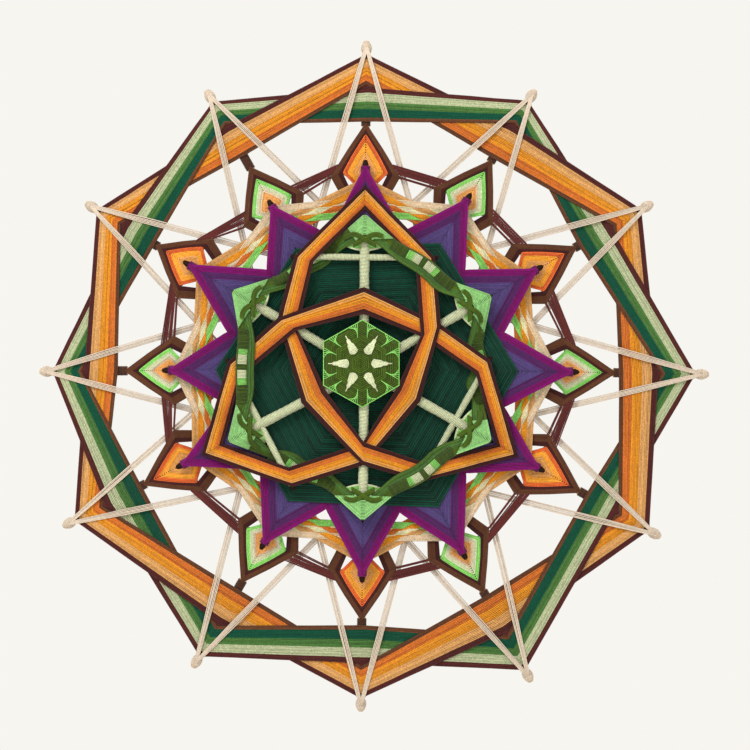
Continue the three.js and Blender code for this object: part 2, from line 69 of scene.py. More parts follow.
@dataclass(frozen=True)
class Sizes:
    """Sizes shared by the sub-assemblies, as in the part's source."""

    yarn: float = 1.1
    fit: float = 0.3
    frame_r: float = 3.0
    star_r: float = 2.5
    bar_r: float = 1.5
    cross_r: float = 3.9
    crossbar_r: float = 2.6
    cord_thick: float = 1.6
    knot_thick: float = 1.5
    # A spoke is straight near the crossing, and the sticks bow between these radii
    straight: float = 30.0
    hub: float = 22.0
    bow: float = 90.0
    # The wound ball covers the end of a frame stick, and a star stick passes its point
    ball_cover: float = 1.5
    star_past: float = 4.0
    bar_mean: float = 157.0
    # Hand-laid reach and lean of each spoke, from twelve o'clock on
    reach: Row = (262.9, 262.4, 266.9, 276.2, 273.1, 284.2, 274.4, 275.8, 272.2, 260, 259.6, 256.7)
    lean: Row = (0.5, 1.7, 0.1, 1, -0.5, 2.1, 0.6, -0.2, 2.7, -0.5, 0.9, 0.6)
    mid_out: Row = (225, 228, 227.3, 235.3, 231.3, 239, 235, 234, 233.5, 223.3, 224, 222.4)
    mid_in: Row = (198, 197.6, 198, 204, 204, 205.8, 205, 202.9, 201, 197, 195, 195.8)
    bar_at: Row = (156.7, 156, 156, 161.8, 157.8, 162.7, 162.4, 157.3, 160.9, 155.1, 160.9, 149.8)
    eye_at: Row = (188.4, 185.6, 185.6, 191, 189.3, 192.9, 190.9, 186.4, 190.9, 180.7, 184.7, 175.1)
    star_at: Row = (162.2, 159.3, 160, 167, 161, 167.8, 165.8, 161.3, 164.7, 156.4, 163, 150.2)
    field_at: Row = (117, 122.7, 125, 121.3, 118, 110)
    crossbar_at: Row = (88.5, 83, 92.8)
    knot_tip: Row = (146, 140.7, 146)
    knot_bend: Row = (64.7, 51.3, 56)
    knot_turn: Row = (70, 76, 78.8)
    cord_point: Row = (122.6, 116.7, 116.2, 120.2, 122, 121.3)


class Depths:
    """Depths in front of the wall, stacked up from the sizes."""

    def __init__(self, s: Sizes) -> None:
        """Stacks the layers from the wall to the front.

        Args:
            s: sizes of the sticks and the yarn.
        """
        # Half the step between a course that passes over and one that passes under
        self.weave = (s.yarn + s.fit) / 2
        # Middles of the long sticks, in two layers at the crossing and level outside the bow
        self.frame_levels = (s.frame_r, 3 * s.frame_r + s.fit)
        self.frame_tip = sum(self.frame_levels) / 2
        # Backs of what lies on the long sticks, of the outer hexagons and of what lies on those
        self.on_frame = self.frame_tip + s.frame_r + s.fit
        self.band_level = self.on_frame + self.weave
        self.on_band = self.band_level + self.weave + s.yarn + s.fit
        # Middle of the petal bars, back of what lies on them, and back of the braids
        self.bar_level = self.on_frame + s.bar_r
        self.on_bar = self.bar_level + s.bar_r + s.fit
        self.braid_level = self.on_bar + s.yarn + self.weave + s.fit / 2
        # Middles of the star sticks outside the bow and at the crossing, and back of the windings
        self.star_level = self.braid_level + s.yarn + s.star_r + 3 * s.fit
        back = self.frame_levels[1] + s.frame_r + s.fit + s.star_r
        self.star_levels = (back, back + 2 * s.star_r + s.fit)
        self.on_star = self.star_level + s.star_r + s.fit
        # Backs of the green field, of what lies on its rim, and of what lies on a cord there
        self.field_level = max(self.on_star + s.yarn, self.star_levels[1] + s.star_r) + s.fit
        self.on_field = self.field_level + s.yarn + s.fit
        self.on_cord = self.on_field + s.cord_thick + s.fit
        # Middle of the wrapped cross, and backs of what lies on it and on its bars
        self.cross_level = self.on_cord + s.cross_r
        self.on_cross = self.cross_level + s.cross_r + s.fit
        self.on_crossbar = self.cross_level + s.crossbar_r + s.fit


S = Sizes()
D = Depths(S)


def at(row: Sequence[float], hour: int, first: int = 0, step: int = 1) -> float:
    """Value of a row that starts at one hour and goes on in even steps round the clock."""
    return row[(hour - first) // step % len(row)]


def lean(hour: float) -> float:
    """Blends the lean of two neighbouring spokes.

    Args:
        hour: clock direction, also between two spokes.

    Returns:
        The lean in degrees.
    """
    first = math.floor(hour)
    share = hour - first
    return at(S.lean, first) * (1 - share) + at(S.lean, first + 1) * share


def flat(hour: float, radius: float) -> Point:
    """Finds a point of the mandala's plane.

    Args:
        hour: clock direction from the front.
        radius: distance from the crossing.

    Returns:
        The point as x and z.
    """
    hold = max(0.0, 1 - S.straight / max(radius, 1))
    angle = math.radians(hour * 30 + lean(hour) * hold)
    return np.array([radius * math.sin(angle), radius * math.cos(angle)])


def outward(hour: float, radius: float) -> Point:
    """Direction along a spoke, away from the crossing, as x and z."""
    step = flat(hour, radius + 1) - flat(hour, max(radius - 1, 0.0))
    return step / np.linalg.norm(step)


def clockwise(along: Point) -> Point:
    """Direction of the plane a quarter turn clockwise from another."""
    return np.array([along[1], -along[0]])


def beside(hour: float, radius: float, offset: float) -> Point:
    """A point out along a spoke by radius and clockwise across it by offset."""
    return flat(hour, radius) + offset * clockwise(outward(hour, radius))


def between(here: Point, then: Point, part: float) -> Point:
    """A point a share of the way from one point to another."""
    return here + (then - here) * part


def place(point: Sequence[float], depth: float) -> Point:
    """A point of the plane set at a depth in front of the wall."""
    return np.array([point[0], -depth, point[1]])


def bowed(centre: float, tip: float, radius: float) -> float:
    """Depth of a stick that bows from one level at the hub to another outside."""
    share = min(max((radius - S.hub) / (S.bow - S.hub), 0.0), 1.0)
    return tip + (centre - tip) * (0.5 + 0.5 * math.cos(math.pi * share))


def softened(path: Sequence[Point], rounds: int = 2) -> Path:
    """Rounds the corners of an open path, keeping its ends.

    Args:
        path: points of the path.
        rounds: how often each corner is cut.

    Returns:
        The rounded path.
    """
    points = list(path)
    for _ in range(rounds):
        cut = [points[0]]
        for here, then in zip(points[:-1], points[1:]):
            cut += [here * 0.75 + then * 0.25, here * 0.25 + then * 0.75]
        points = cut + [points[-1]]
    return points


def hour_name(hour: int) -> str:
    """Clock name of a spoke."""
    return str(hour % 12 or 12)


# Finishes


def linear(colour: str) -> Row:
    """Turns an sRGB hex colour to linear values.

    Args:
        colour: the colour as # and six digits.

    Returns:
        Red, green and blue with full alpha.
    """
    parts = [int(colour[i : i + 2], 16) / 255 for i in (1, 3, 5)]
    turned = [c / 12.92 if c <= 0.04045 else ((c + 0.055) / 1.055) ** 2.4 for c in parts]
    return turned[0], turned[1], turned[2], 1.0


def add_node(
    tree: Tree, kind: str, links: dict[str | int, object], **settings: object
) -> Node:
    """Adds a node with its settings, values and links.

    Args:
        tree: node tree of the finish.
        kind: node type without its common prefix.
        links: socket name or number to a value, or to a (node, output) pair.
        settings: properties of the node.

    Returns:
        The new node.
    """
    node = tree.nodes.new("ShaderNode" + kind)
    for name, value in settings.items():
        setattr(node, name, value)
    for name, value in links.items():
        socket = node.inputs[name]
        if isinstance(value, tuple) and isinstance(value[0], Node):
            tree.links.new(value[0].outputs[value[1]], socket)
        else:
            socket.default_value = value
    return node


@dataclass(frozen=True)
class Finish:
    """A finish, named for its material."""

    name: str

    def material(self) -> bpy.types.Material:
        """Makes the material at the first call.

        Returns:
            The material.
        """
        made = bpy.data.materials.get(self.name)
        if made is None:
            made = bpy.data.materials.new(self.name)
            made.use_nodes = True
            made.node_tree.nodes.clear()
            self.dress(made.node_tree)
        return made

    def dress(self, tree: Tree) -> None:
        """Adds the finish's nodes to an empty tree."""
        raise NotImplementedError


@dataclass(frozen=True)
class Yarn(Finish):
    """Dyed acrylic craft yarn, spun and plied: matt, softly fuzzy, with small shade changes along it."""

    colour: str
    roughness: float = 0.88
    ply_mm: float = 1.6
    ply_slant: float = 35.0
    ply_deep_mm: float = 0.2
    patch_mm: float = 3.846
    streak_mm: float = 22.0
    streak_apart: float = 91.0
    uneven: float = 0.26
    # Share of the colour's value left low on a thread's flanks, a painted crease shade
    crease: float = 0.3
    fibre_mm: float = 0.9
    # Strength of the fibre specks, partly random tone and partly painted glints
    fuzz: float = 0.32

    def dress(self, tree: Tree) -> None:
        """Adds the yarn's colour, ply and matt surface.

        Args:
            tree: empty node tree of the material.
        """
        where = add_node(tree, "TexCoord", {})
        # The second axis of a thread's own map goes round it, and the first along it in millimetres
        run = add_node(tree, "SeparateXYZ", {"Vector": (where, "UV")})
        tone = self._tone(tree, where, run)
        # Painted shade darkens each thread's flanks, where the turns beside it shade them
        crease = self._crease(tree, run)
        shaded = add_node(tree, "Math", {0: (tone, 0), 1: (crease, 0)}, operation="MULTIPLY")
        # Painted glints of loose fibres, with darker specks of random tone between them
        speck = self._speck(tree, where)
        value = add_node(tree, "Math", {0: (shaded, 0), 1: (speck, 0)}, operation="MULTIPLY")
        colour = add_node(tree, "HueSaturation", {"Value": (value, 0), "Color": linear(self.colour)})
        # The ply is a slanted stripe round the thread, drawn at its real spacing
        slant = {"Rotation": (0.0, 0.0, math.radians(self.ply_slant)), "Scale": (1 / self.ply_mm, 1.0, 1.0)}
        turn = add_node(tree, "Mapping", {"Vector": (where, "UV"), **slant})
        ply = add_node(tree, "TexWave", {"Vector": (turn, 0), "Scale": 1.0, "Distortion": 0.6, "Detail": 1.0})
        deep = self.ply_deep_mm * MM
        bump = add_node(tree, "Bump", {"Height": (ply, "Fac"), "Strength": 0.35, "Distance": deep})
        surface = {
            "Base Color": (colour, 0),
            "Roughness": self.roughness,
            "IOR": 1.47,
            "Specular IOR Level": 0.18,
            "Sheen Weight": 0.12,
            "Sheen Roughness": 0.5,
            "Normal": (bump, 0),
        }
        shader = add_node(tree, "BsdfPrincipled", surface)
        add_node(tree, "OutputMaterial", {"Surface": (shader, 0)})

    def _tone(self, tree: Tree, where: Node, run: Node) -> Node:
        """Adds the changes of shade from thread to thread and along each thread.

        Args:
            tree: node tree of the yarn.
            where: coordinates.
            run: parts of the thread's own map.

        Returns:
            A node that gives a factor of the colour's value.
        """
        shade = add_node(tree, "Attribute", {}, attribute_name="shade")
        # Lustre changes in patches of a few millimetres
        fine = {"Vector": (where, "Object"), "Scale": 1 / (self.patch_mm * MM), "Detail": 3.0}
        patch = add_node(tree, "TexNoise", fine)
        # Each thread takes its own slow changes along its length, as unevenly dyed yarn does
        far = add_node(tree, "Math", {0: (run, "X"), 1: 1 / self.streak_mm}, operation="MULTIPLY")
        own = add_node(tree, "Math", {0: (shade, "Fac"), 1: self.streak_apart}, operation="MULTIPLY")
        spot = add_node(tree, "CombineXYZ", {"X": (far, 0), "Y": (own, 0)})
        streak = add_node(tree, "TexNoise", {"Vector": (spot, 0), "Scale": 1.0, "Detail": 2.0})
        mixed = add_node(tree, "Math", {0: (shade, "Fac"), 1: (patch, "Fac")}, operation="ADD")
        whole = add_node(tree, "Math", {0: (mixed, 0), 1: (streak, "Fac")}, operation="ADD")
        spread = {"From Min": 0.7, "From Max": 2.1, "To Min": 1 - self.uneven, "To Max": 1 + self.uneven}
        return add_node(tree, "MapRange", {"Value": (whole, 0), **spread})

    def _crease(self, tree: Tree, run: Node) -> Node:
        """Adds painted shade low on each thread's flanks, where neighbouring turns shade each other.

        Args:
            tree: node tree of the yarn.
            run: parts of the thread's own map.

        Returns:
            A node that gives a factor of the colour's value.
        """
        turn = add_node(tree, "Math", {0: (run, "Y"), 1: 2 * math.pi}, operation="MULTIPLY")
        crest = add_node(tree, "Math", {0: (turn, 0)}, operation="SINE")
        height = add_node(tree, "Math", {0: (crest, 0)}, operation="ABSOLUTE")
        return add_node(tree, "MapRange", {"Value": (height, 0), "From Min": 0.5, "To Min": self.crease})

    def _speck(self, tree: Tree, where: Node) -> Node:
        """Adds the loose fibre ends, which stand out of the ply, as specks of lighter and darker tone; the
        lighter specks are painted glints where the fibres catch the light.

        Args:
            tree: node tree of the yarn.
            where: coordinates.

        Returns:
            A node that gives a factor of the colour's value.
        """
        # A real fibre is too fine to show, so the specks are drawn nearly a millimetre wide
        fine = {"Scale": 1 / (self.fibre_mm * MM), "Detail": 2.0, "Roughness": 0.7}
        loose = add_node(tree, "TexNoise", {"Vector": (where, "Object"), **fine})
        spread = {"From Min": 0.3, "From Max": 0.7, "To Min": 1 - self.fuzz, "To Max": 1 + self.fuzz}
        return add_node(tree, "MapRange", {"Value": (loose, "Fac"), **spread})


@dataclass(frozen=True)
class Timber(Finish):
    """Sanded hardwood dowel, bare or stained: satin, with long grain along the stick and no varnish."""

    light: str
    dark: str
    gloss: float = 0.4
    grain_mm: float = 24.0
    strips: float = 6.0
    grain_deep_mm: float = 0.2

    def dress(self, tree: Tree) -> None:
        """Adds the grain and the satin surface.

        Args:
            tree: empty node tree of the material.
        """
        where = add_node(tree, "TexCoord", {})
        # The first axis of the stick's own map follows it in millimetres, so the grain is long
        long = {"Vector": (where, "UV"), "Scale": (1 / self.grain_mm, self.strips, 1.0)}
        along = add_node(tree, "Mapping", long)
        streaks = {"Vector": (along, 0), "Scale": 2.0, "Detail": 5.0, "Roughness": 0.6}
        grain = add_node(tree, "TexNoise", streaks)
        ramp = add_node(tree, "ValToRGB", {"Fac": (grain, "Fac")})
        for stop, (spot, colour) in zip(ramp.color_ramp.elements, ((0.3, self.dark), (0.7, self.light))):
            stop.position = spot
            stop.color = linear(colour)
        satin = {"From Min": 0.3, "From Max": 0.7, "To Min": 0.72, "To Max": 0.55}
        rough = add_node(tree, "MapRange", {"Value": (grain, "Fac"), **satin})
        deep = self.grain_deep_mm * MM
        bump = add_node(tree, "Bump", {"Height": (grain, "Fac"), "Strength": 0.2, "Distance": deep})
        surface = {
            "Base Color": (ramp, "Color"),
            "Roughness": (rough, 0),
            "IOR": 1.5,
            "Specular IOR Level": self.gloss,
            "Normal": (bump, 0),
        }
        shader = add_node(tree, "BsdfPrincipled", surface)
        add_node(tree, "OutputMaterial", {"Surface": (shader, 0)})


@dataclass(frozen=True)
class Paper(Finish):
    """Matt cartridge paper, pressed: pale and dull, with a faint cloudiness."""

    light: str
    dark: str
    cloud_mm: float = 125.0

    def dress(self, tree: Tree) -> None:
        """Adds the cloudiness and the matt surface.

        Args:
            tree: empty node tree of the material.
        """
        where = add_node(tree, "TexCoord", {})
        clouds = {"Vector": (where, "Object"), "Scale": 1 / (self.cloud_mm * MM)}
        mottle = add_node(tree, "TexNoise", clouds)
        ramp = add_node(tree, "ValToRGB", {"Fac": (mottle, "Fac")})
        for stop, colour in zip(ramp.color_ramp.elements, (self.dark, self.light)):
            stop.color = linear(colour)
        shader = add_node(tree, "BsdfPrincipled", {"Base Color": (ramp, "Color"), "Roughness": 0.9})
        add_node(tree, "OutputMaterial", {"Surface": (shader, 0)})


class Dye(Enum):
    """The yarns of this piece, by common colour name."""

    # Acrylic yarn, dyed: soft and matt, with painted shade on the flanks of the turns, light on the pale dyes
    # and dark on the deep ones
    MAROON = Yarn("acrylic_yarn_maroon", "#4e1f1c")
    PEACH = Yarn("acrylic_yarn_peach", "#ca9559", crease=0.5)
    ORANGE = Yarn("acrylic_yarn_orange", "#d1861f", crease=0.45)
    RUST = Yarn("acrylic_yarn_red_orange", "#c16725", crease=0.45)
    BROWN = Yarn("acrylic_yarn_brown", "#623a22")
    PALE_GREEN = Yarn("acrylic_yarn_pale_green", "#a8af89", crease=0.6)
    MID_GREEN = Yarn("acrylic_yarn_grass_green", "#446c33", crease=0.4)
    TEAL_GREEN = Yarn("acrylic_yarn_bottle_green", "#024732")
    STRAND = Yarn("acrylic_yarn_natural", "#d2c1ad", uneven=0.14, crease=0.78, fuzz=0.18)
    BRIGHT = Yarn("acrylic_yarn_bright_green", "#84cb62", crease=0.5)
    LIGHT_GREEN = Yarn("acrylic_yarn_light_green", "#88c073", crease=0.5)
    CREAM = Yarn("acrylic_yarn_cream", "#cdd3aa", uneven=0.16, crease=0.5)
    BLUSH = Yarn("acrylic_yarn_blush", "#d3ba99", crease=0.55)
    PURPLE = Yarn("acrylic_yarn_purple", "#780362")
    INDIGO = Yarn("acrylic_yarn_indigo", "#4b1f55")
    VIOLET = Yarn("acrylic_yarn_blue_violet", "#4f3f74")
    FOREST = Yarn("acrylic_yarn_forest_green", "#023929", uneven=0.6, crease=0.1)
    OLIVE = Yarn("acrylic_yarn_olive", "#445c12", uneven=0.34, crease=0.16)
    UMBER = Yarn("acrylic_yarn_dark_brown", "#54301c")
    OXBLOOD = Yarn("acrylic_yarn_dark_maroon", "#3a1513")
    STRAW = Yarn("acrylic_yarn_straw", "#d3cba0", crease=0.55)
    MARIGOLD = Yarn("acrylic_yarn_marigold", "#f0a034", crease=0.45)
    VERMILION = Yarn("acrylic_yarn_vermilion", "#dc642c")
    WINE = Yarn("acrylic_yarn_wine", "#5d2623")
    MOSS = Yarn("acrylic_yarn_moss", "#485a20")
    APRICOT = Yarn("acrylic_yarn_apricot", "#e09d56", crease=0.5)


# Birch dowel, turned and sanded: pale straw colour, fine grain, a dull satin light
BIRCH = Timber("birch_dowel", "#d8b98a", "#b48b58")
# Stained dowel: nearly black brown, the stain takes the shine away
STAINED = Timber("stained_dowel", "#2c150d", "#160a06", gloss=0.1)
# Matt paper for the floor: off-white, without a reflection
MATT_PAPER = Paper("matt_paper", "#f1eee8", "#e9e6e0")


def shades(*runs: tuple[Dye, int]) -> list[Yarn]:
    """Lists the yarn of each course from runs of (dye, courses)."""
    return [dye.value for dye, count in runs for _ in range(count)]


# Threads


def unit(rows: np.ndarray) -> np.ndarray:
    """Brings every row of an array to length one."""
    return rows / np.maximum(np.linalg.norm(rows, axis=1), 1e-9)[:, None]


class Skein:
    """Threads and sticks of one piece, gathered and then made into one mesh."""

    def __init__(self, name: str) -> None:
        """Starts an empty piece.

        Args:
            name: name of the piece, which also seeds its random numbers.
        """
        self.name = name
        self.rng = np.random.default_rng(sum(ord(c) * (i + 1) for i, c in enumerate(name)))
        self.points: list[np.ndarray] = []
        self.faces: list[np.ndarray] = []
        self.maps: list[np.ndarray] = []
        self.shades: list[np.ndarray] = []
        self.slots: list[np.ndarray] = []
        self.finishes: list[Finish] = []
        self.count = 0

    def lay(
        self,
        path: Iterable[Point],
        finish: Finish,
        radius: float | np.ndarray,
        closed: bool = False,
        ref: Point = FRONT,
        sides: int = 6,
    ) -> None:
        """Lays a round thread or stick along a path.

        Args:
            path: points of its middle.
            finish: yarn or timber.
            radius: its radius, one value or one per point.
            closed: joins the last point to the first.
            ref: direction that no part of the path follows.
            sides: sides of its section.
        """
        p = np.asarray(list(path), dtype=float)
        n = len(p)
        along = unit(np.roll(p, -1, 0) - np.roll(p, 1, 0) if closed else np.gradient(p, axis=0))
        side = unit(np.cross(along, ref))
        up = np.cross(side, along)
        half = np.broadcast_to(np.asarray(radius, dtype=float), (n,))
        angle = np.arange(sides) / sides * 2 * math.pi
        ring = (
            p[:, None]
            + half[:, None, None] * np.cos(angle)[None, :, None] * side[:, None]
            + half[:, None, None] * np.sin(angle)[None, :, None] * up[:, None]
        )
        rows = n if closed else n - 1
        i = np.repeat(np.arange(rows), sides)
        j = np.tile(np.arange(sides), rows)
        i2, j2 = (i + 1) % n, (j + 1) % sides
        quads = np.stack([i * sides + j, i2 * sides + j, i2 * sides + j2, i * sides + j2], 1)
        run = np.concatenate([[0], np.cumsum(np.linalg.norm(np.diff(p, axis=0), axis=1))])
        run = np.append(run, run[-1] + np.linalg.norm(p[0] - p[-1]))
        u = np.stack([run[i], run[i + 1], run[i + 1], run[i]], 1)
        v = np.stack([j / sides, j / sides, (j + 1) / sides, (j + 1) / sides], 1)
        # The crest of a thread lies at a quarter of its map, wherever its section starts
        v = v + (0.0 if ref is FRONT else 0.25)
        shade = self.rng.uniform(0.1, 1.0)
        self._keep(ring.reshape(-1, 3), quads, np.stack([u, v], 2).reshape(-1, 2), shade, finish)
        if not closed:
            tips = np.stack([p[0] - along[0] * half[0] * 0.5, p[-1] + along[-1] * half[-1] * 0.5])
            self._cap(tips, n, sides, finish)

    def _keep(
        self, points: np.ndarray, quads: np.ndarray, corners: np.ndarray, shade: float, finish: Finish
    ) -> None:
        """Keeps one batch of faces.

        Args:
            points: new points.
            quads: faces, counted from the first new point.
            corners: map of each face's corners.
            shade: lightness of the batch.
            finish: yarn or timber.
        """
        if finish not in self.finishes:
            self.finishes.append(finish)
        self.points.append(points)
        self.faces.append(quads + self.count)
        self.maps.append(corners)
        self.shades.append(np.full(len(points), shade))
        self.slots.append(np.full(len(quads), self.finishes.index(finish)))
        self.count += len(points)

    def _cap(self, tips: np.ndarray, rings: int, sides: int, finish: Finish) -> None:
        """Closes both ends of the thread that was laid last with a low point.

        Args:
            tips: the two points.
            rings: rings of the thread.
            sides: sides of its section.
            finish: yarn or timber.
        """
        j = np.arange(sides)
        k = (j + 1) % sides
        first, last = -rings * sides, -sides
        zero, one = np.zeros(sides, dtype=int), np.ones(sides, dtype=int)
        start = np.stack([first + j, first + k, zero, zero], 1)
        end = np.stack([last + k, last + j, one, one], 1)
        self._keep(tips, np.concatenate([start, end]), np.zeros((sides * 8, 2)), 0.5, finish)

    def ring(
        self, middle: Point, along: Point, depth: float, around: Pair, finish: Finish, wide: float = 1.0
    ) -> None:
        """Lays one closed turn, round or flattened, across a line of travel in the plane.

        Args:
            middle: point of the plane inside the turn.
            along: direction of travel.
            depth: depth of the turn's middle.
            around: half width and half depth of the turn, to the middle of the yarn.
            finish: yarn.
            wide: thickness of the yarn as a share of the usual.
        """
        path = []
        for angle in (np.arange(8) + 0.5) / 8 * 2 * math.pi:
            point = middle + clockwise(along) * around[0] * math.cos(angle)
            path.append(place(point, depth + around[1] * math.sin(angle)))
        self.lay(path, finish, S.yarn / 2 * wide, True, np.array([along[0], 0.0, along[1]]), 4)

    def turn(
        self,
        hour: float,
        radius: float,
        finish: Finish,
        depth: float = D.frame_tip,
        around: float = S.frame_r + S.yarn / 2,
        wide: float = 1.0,
    ) -> None:
        """Lays one turn of yarn round a spoke.

        Args:
            hour: the spoke.
            radius: place along it.
            finish: yarn.
            depth: depth of the stick's middle.
            around: radius of the turn, to the middle of the yarn.
            wide: thickness of the yarn as a share of the usual.
        """
        self.ring(flat(hour, radius), outward(hour, radius), depth, (around, around), finish, wide)

    def make(self, node: str) -> None:
        """Makes the mesh and hands it to the frame.

        Args:
            node: CAD node that the piece stands for.
        """
        quads = np.concatenate(self.faces)
        # A cap's face names its tip twice, and its last corner is left out
        keep = np.ones((len(quads), 4), dtype=bool)
        keep[quads[:, 2] == quads[:, 3], 3] = False
        faces = [quad[:3] if quad[2] == quad[3] else quad for quad in quads.tolist()]
        mesh = bpy.data.meshes.new(self.name)
        mesh.from_pydata(np.concatenate(self.points) * MM, [], faces)
        mesh.polygons.foreach_set("material_index", np.concatenate(self.slots).astype(np.int32))
        mesh.polygons.foreach_set("use_smooth", np.ones(len(quads), dtype=bool))
        thread = mesh.uv_layers.new(name="thread")
        thread.data.foreach_set("uv", np.concatenate(self.maps)[keep.ravel()].astype(np.float32).ravel())
        shade = mesh.attributes.new("shade", "FLOAT", "POINT")
        shade.data.foreach_set("value", np.concatenate(self.shades).astype(np.float32))
        for finish in self.finishes:
            mesh.materials.append(finish.material())
        mesh.update(calc_edges=True)
        mesh.validate()
        piece = bpy.data.objects.new(self.name, mesh)
        bpy.context.scene.collection.objects.link(piece)
        self._face_out(piece)
        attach(piece, "root")
        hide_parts(node)
        LOG.info("%s: %d faces", self.name, len(mesh.polygons))

    def _face_out(self, piece: bpy.types.Object) -> None:
        """Turns every thread's faces outwards.

        Args:
            piece: the finished object.
        """
        bpy.ops.object.select_all(action="DESELECT")
        bpy.context.view_layer.objects.active = piece
        piece.select_set(True)
        bpy.ops.object.mode_set(mode="EDIT")
        bpy.ops.mesh.select_all(action="SELECT")
        bpy.ops.mesh.normals_make_consistent(inside=False)
        bpy.ops.object.mode_set(mode="OBJECT")
        piece.select_set(False)


# Sub-assemblies


@dataclass
class StickCross:
    """Six round sticks crossed at the centre, bowed from their lap to a shared level."""

    prefix: str
    levels: Pair
    tip: float
    radius: float
    ends: Sequence[float]
    timber: Timber
    slot: str
    taper: float = 1.0
    start: float = 4.0
    chamfer: float = 3.0
    steps: int = 24
    sides: int = 14

    def arm(self, hour: int) -> tuple[Path, list[float]]:
        """Follows a stick from the crossing to one end.

        Args:
            hour: the end's spoke.

        Returns:
            The points of the arm and its radius at each.
        """
        end = at(self.ends, hour)
        spots = np.append(np.linspace(self.start, end - self.chamfer, self.steps), end)
        path = [place(flat(hour, r), bowed(self.levels[hour % 2], self.tip, r)) for r in spots]
        return path, [self.radius] * self.steps + [self.radius * self.taper]

    def build(self) -> None:
        """Makes the six sticks as separate pieces."""
        for hour in range(6):
            node = f"{self.prefix}_{hour_name(hour)}_{hour_name(hour + 6)}"
            near, near_radii = self.arm(hour)
            far, far_radii = self.arm(hour + 6)
            skein = Skein("stick_" + node)
            skein.lay(far[::-1] + near, self.timber, np.array(far_radii[::-1] + near_radii), sides=self.sides)
            skein.make(node)


@dataclass
class OuterHexagon:
    """One of the two interlaced hexagons: a dark rim, a colour band and a brown edge of yarn courses."""

    side: Side
    name: str
    courses: list[Yarn]
    slot: str
    rim: int = 3
    edge: int = 3
    vertex_back: float = 11.2
    window: float = 2.9
    step: float = 0.055
    middles: Row = (0.2, 0.35, 0.5, 0.65, 0.8)
    thread: float = 0.64
    depth_jitter: float = 0.16
    mean_radius: float = 230.0
    window_threads: int = 4
    window_pitch: float = 0.9
    window_half: float = 5.6
    window_narrows: float = 1.3
    window_rise: float = 0.4
    window_thread: float = 0.6

    def spot(self, hour: int, share: float) -> float:
        """Finds a course at a spoke.

        Args:
            hour: the spoke.
            share: place of the course, from 0 at the inner edge to 1 at the outer.

        Returns:
            The course's radius.
        """
        low, high = at(S.mid_in, hour), at(S.mid_out, hour)
        if hour % 2 == self.side.value:
            low, high = high + self.window, at(S.reach, hour) - self.vertex_back
        return low + (high - low) * share

    def course(self, share: float, skein: Skein) -> Path:
        """Follows one course round, laid a little unevenly.

        Args:
            share: place of the course, from 0 at the inner edge to 1 at the outer.
            skein: piece whose random numbers it takes.

        Returns:
            The closed path.
        """
        path = []
        level = D.band_level + S.yarn / 2 + skein.rng.normal(0, self.depth_jitter)
        parts = (self.step / 2, self.step, *self.middles, 1 - self.step, 1 - self.step / 2)
        for hour in range(12):
            here = flat(hour, self.spot(hour, share))
            then = flat(hour + 1, self.spot(hour + 1, share))
            raised = (hour % 2 == 0) == (self.side is Side.ODD)
            lift = D.weave if raised else -D.weave
            path.append(place(here, level))
            for part in parts:
                up = lift if self.step <= part <= 1 - self.step else lift / 2
                point = between(here, then, part) * (1 + skein.rng.normal(0, SHAKE) / self.mean_radius)
                path.append(place(point, level + up))
        return path

    def build(self) -> None:
        """Makes the rim, the band and the edge."""
        count = len(self.courses)
        groups = (
            ("rim", range(0, self.rim), "yarn_maroon"),
            ("band", range(self.rim, count - self.edge), self.slot),
            ("edge", range(count - self.edge, count), "yarn_brown"),
        )
        for part, numbers, slot in groups:
            skein = Skein(f"{self.name}_{part}_yarn")
            for i in numbers:
                share = 1 - (i + 0.5) / count
                skein.lay(self.course(share, skein), self.courses[i], S.yarn * self.thread, True)
                for hour in range(self.side.value, 12, 2):
                    skein.turn(hour, self.spot(hour, share), self.courses[i])
            if part == "rim":
                self.close_windows(skein)
            skein.make(f"{self.name}_{part}")

    def close_windows(self, skein: Skein) -> None:
        """Lays short dark threads where a side passes inside the other hexagon's point.

        Args:
            skein: piece that takes the threads.
        """
        for hour in range(1 - self.side.value, 12, 2):
            for k in range(self.window_threads):
                spot = at(S.mid_out, hour) + S.fit + self.window_pitch * k
                half = self.window_half - self.window_narrows * k
                path = [place(beside(hour, spot, t), D.band_level) for t in (-half, half)]
                path.insert(1, place(flat(hour, spot), D.band_level + self.window_rise))
                skein.lay(path, self.courses[0], S.yarn * self.window_thread)
                skein.turn(hour, spot, self.courses[0])


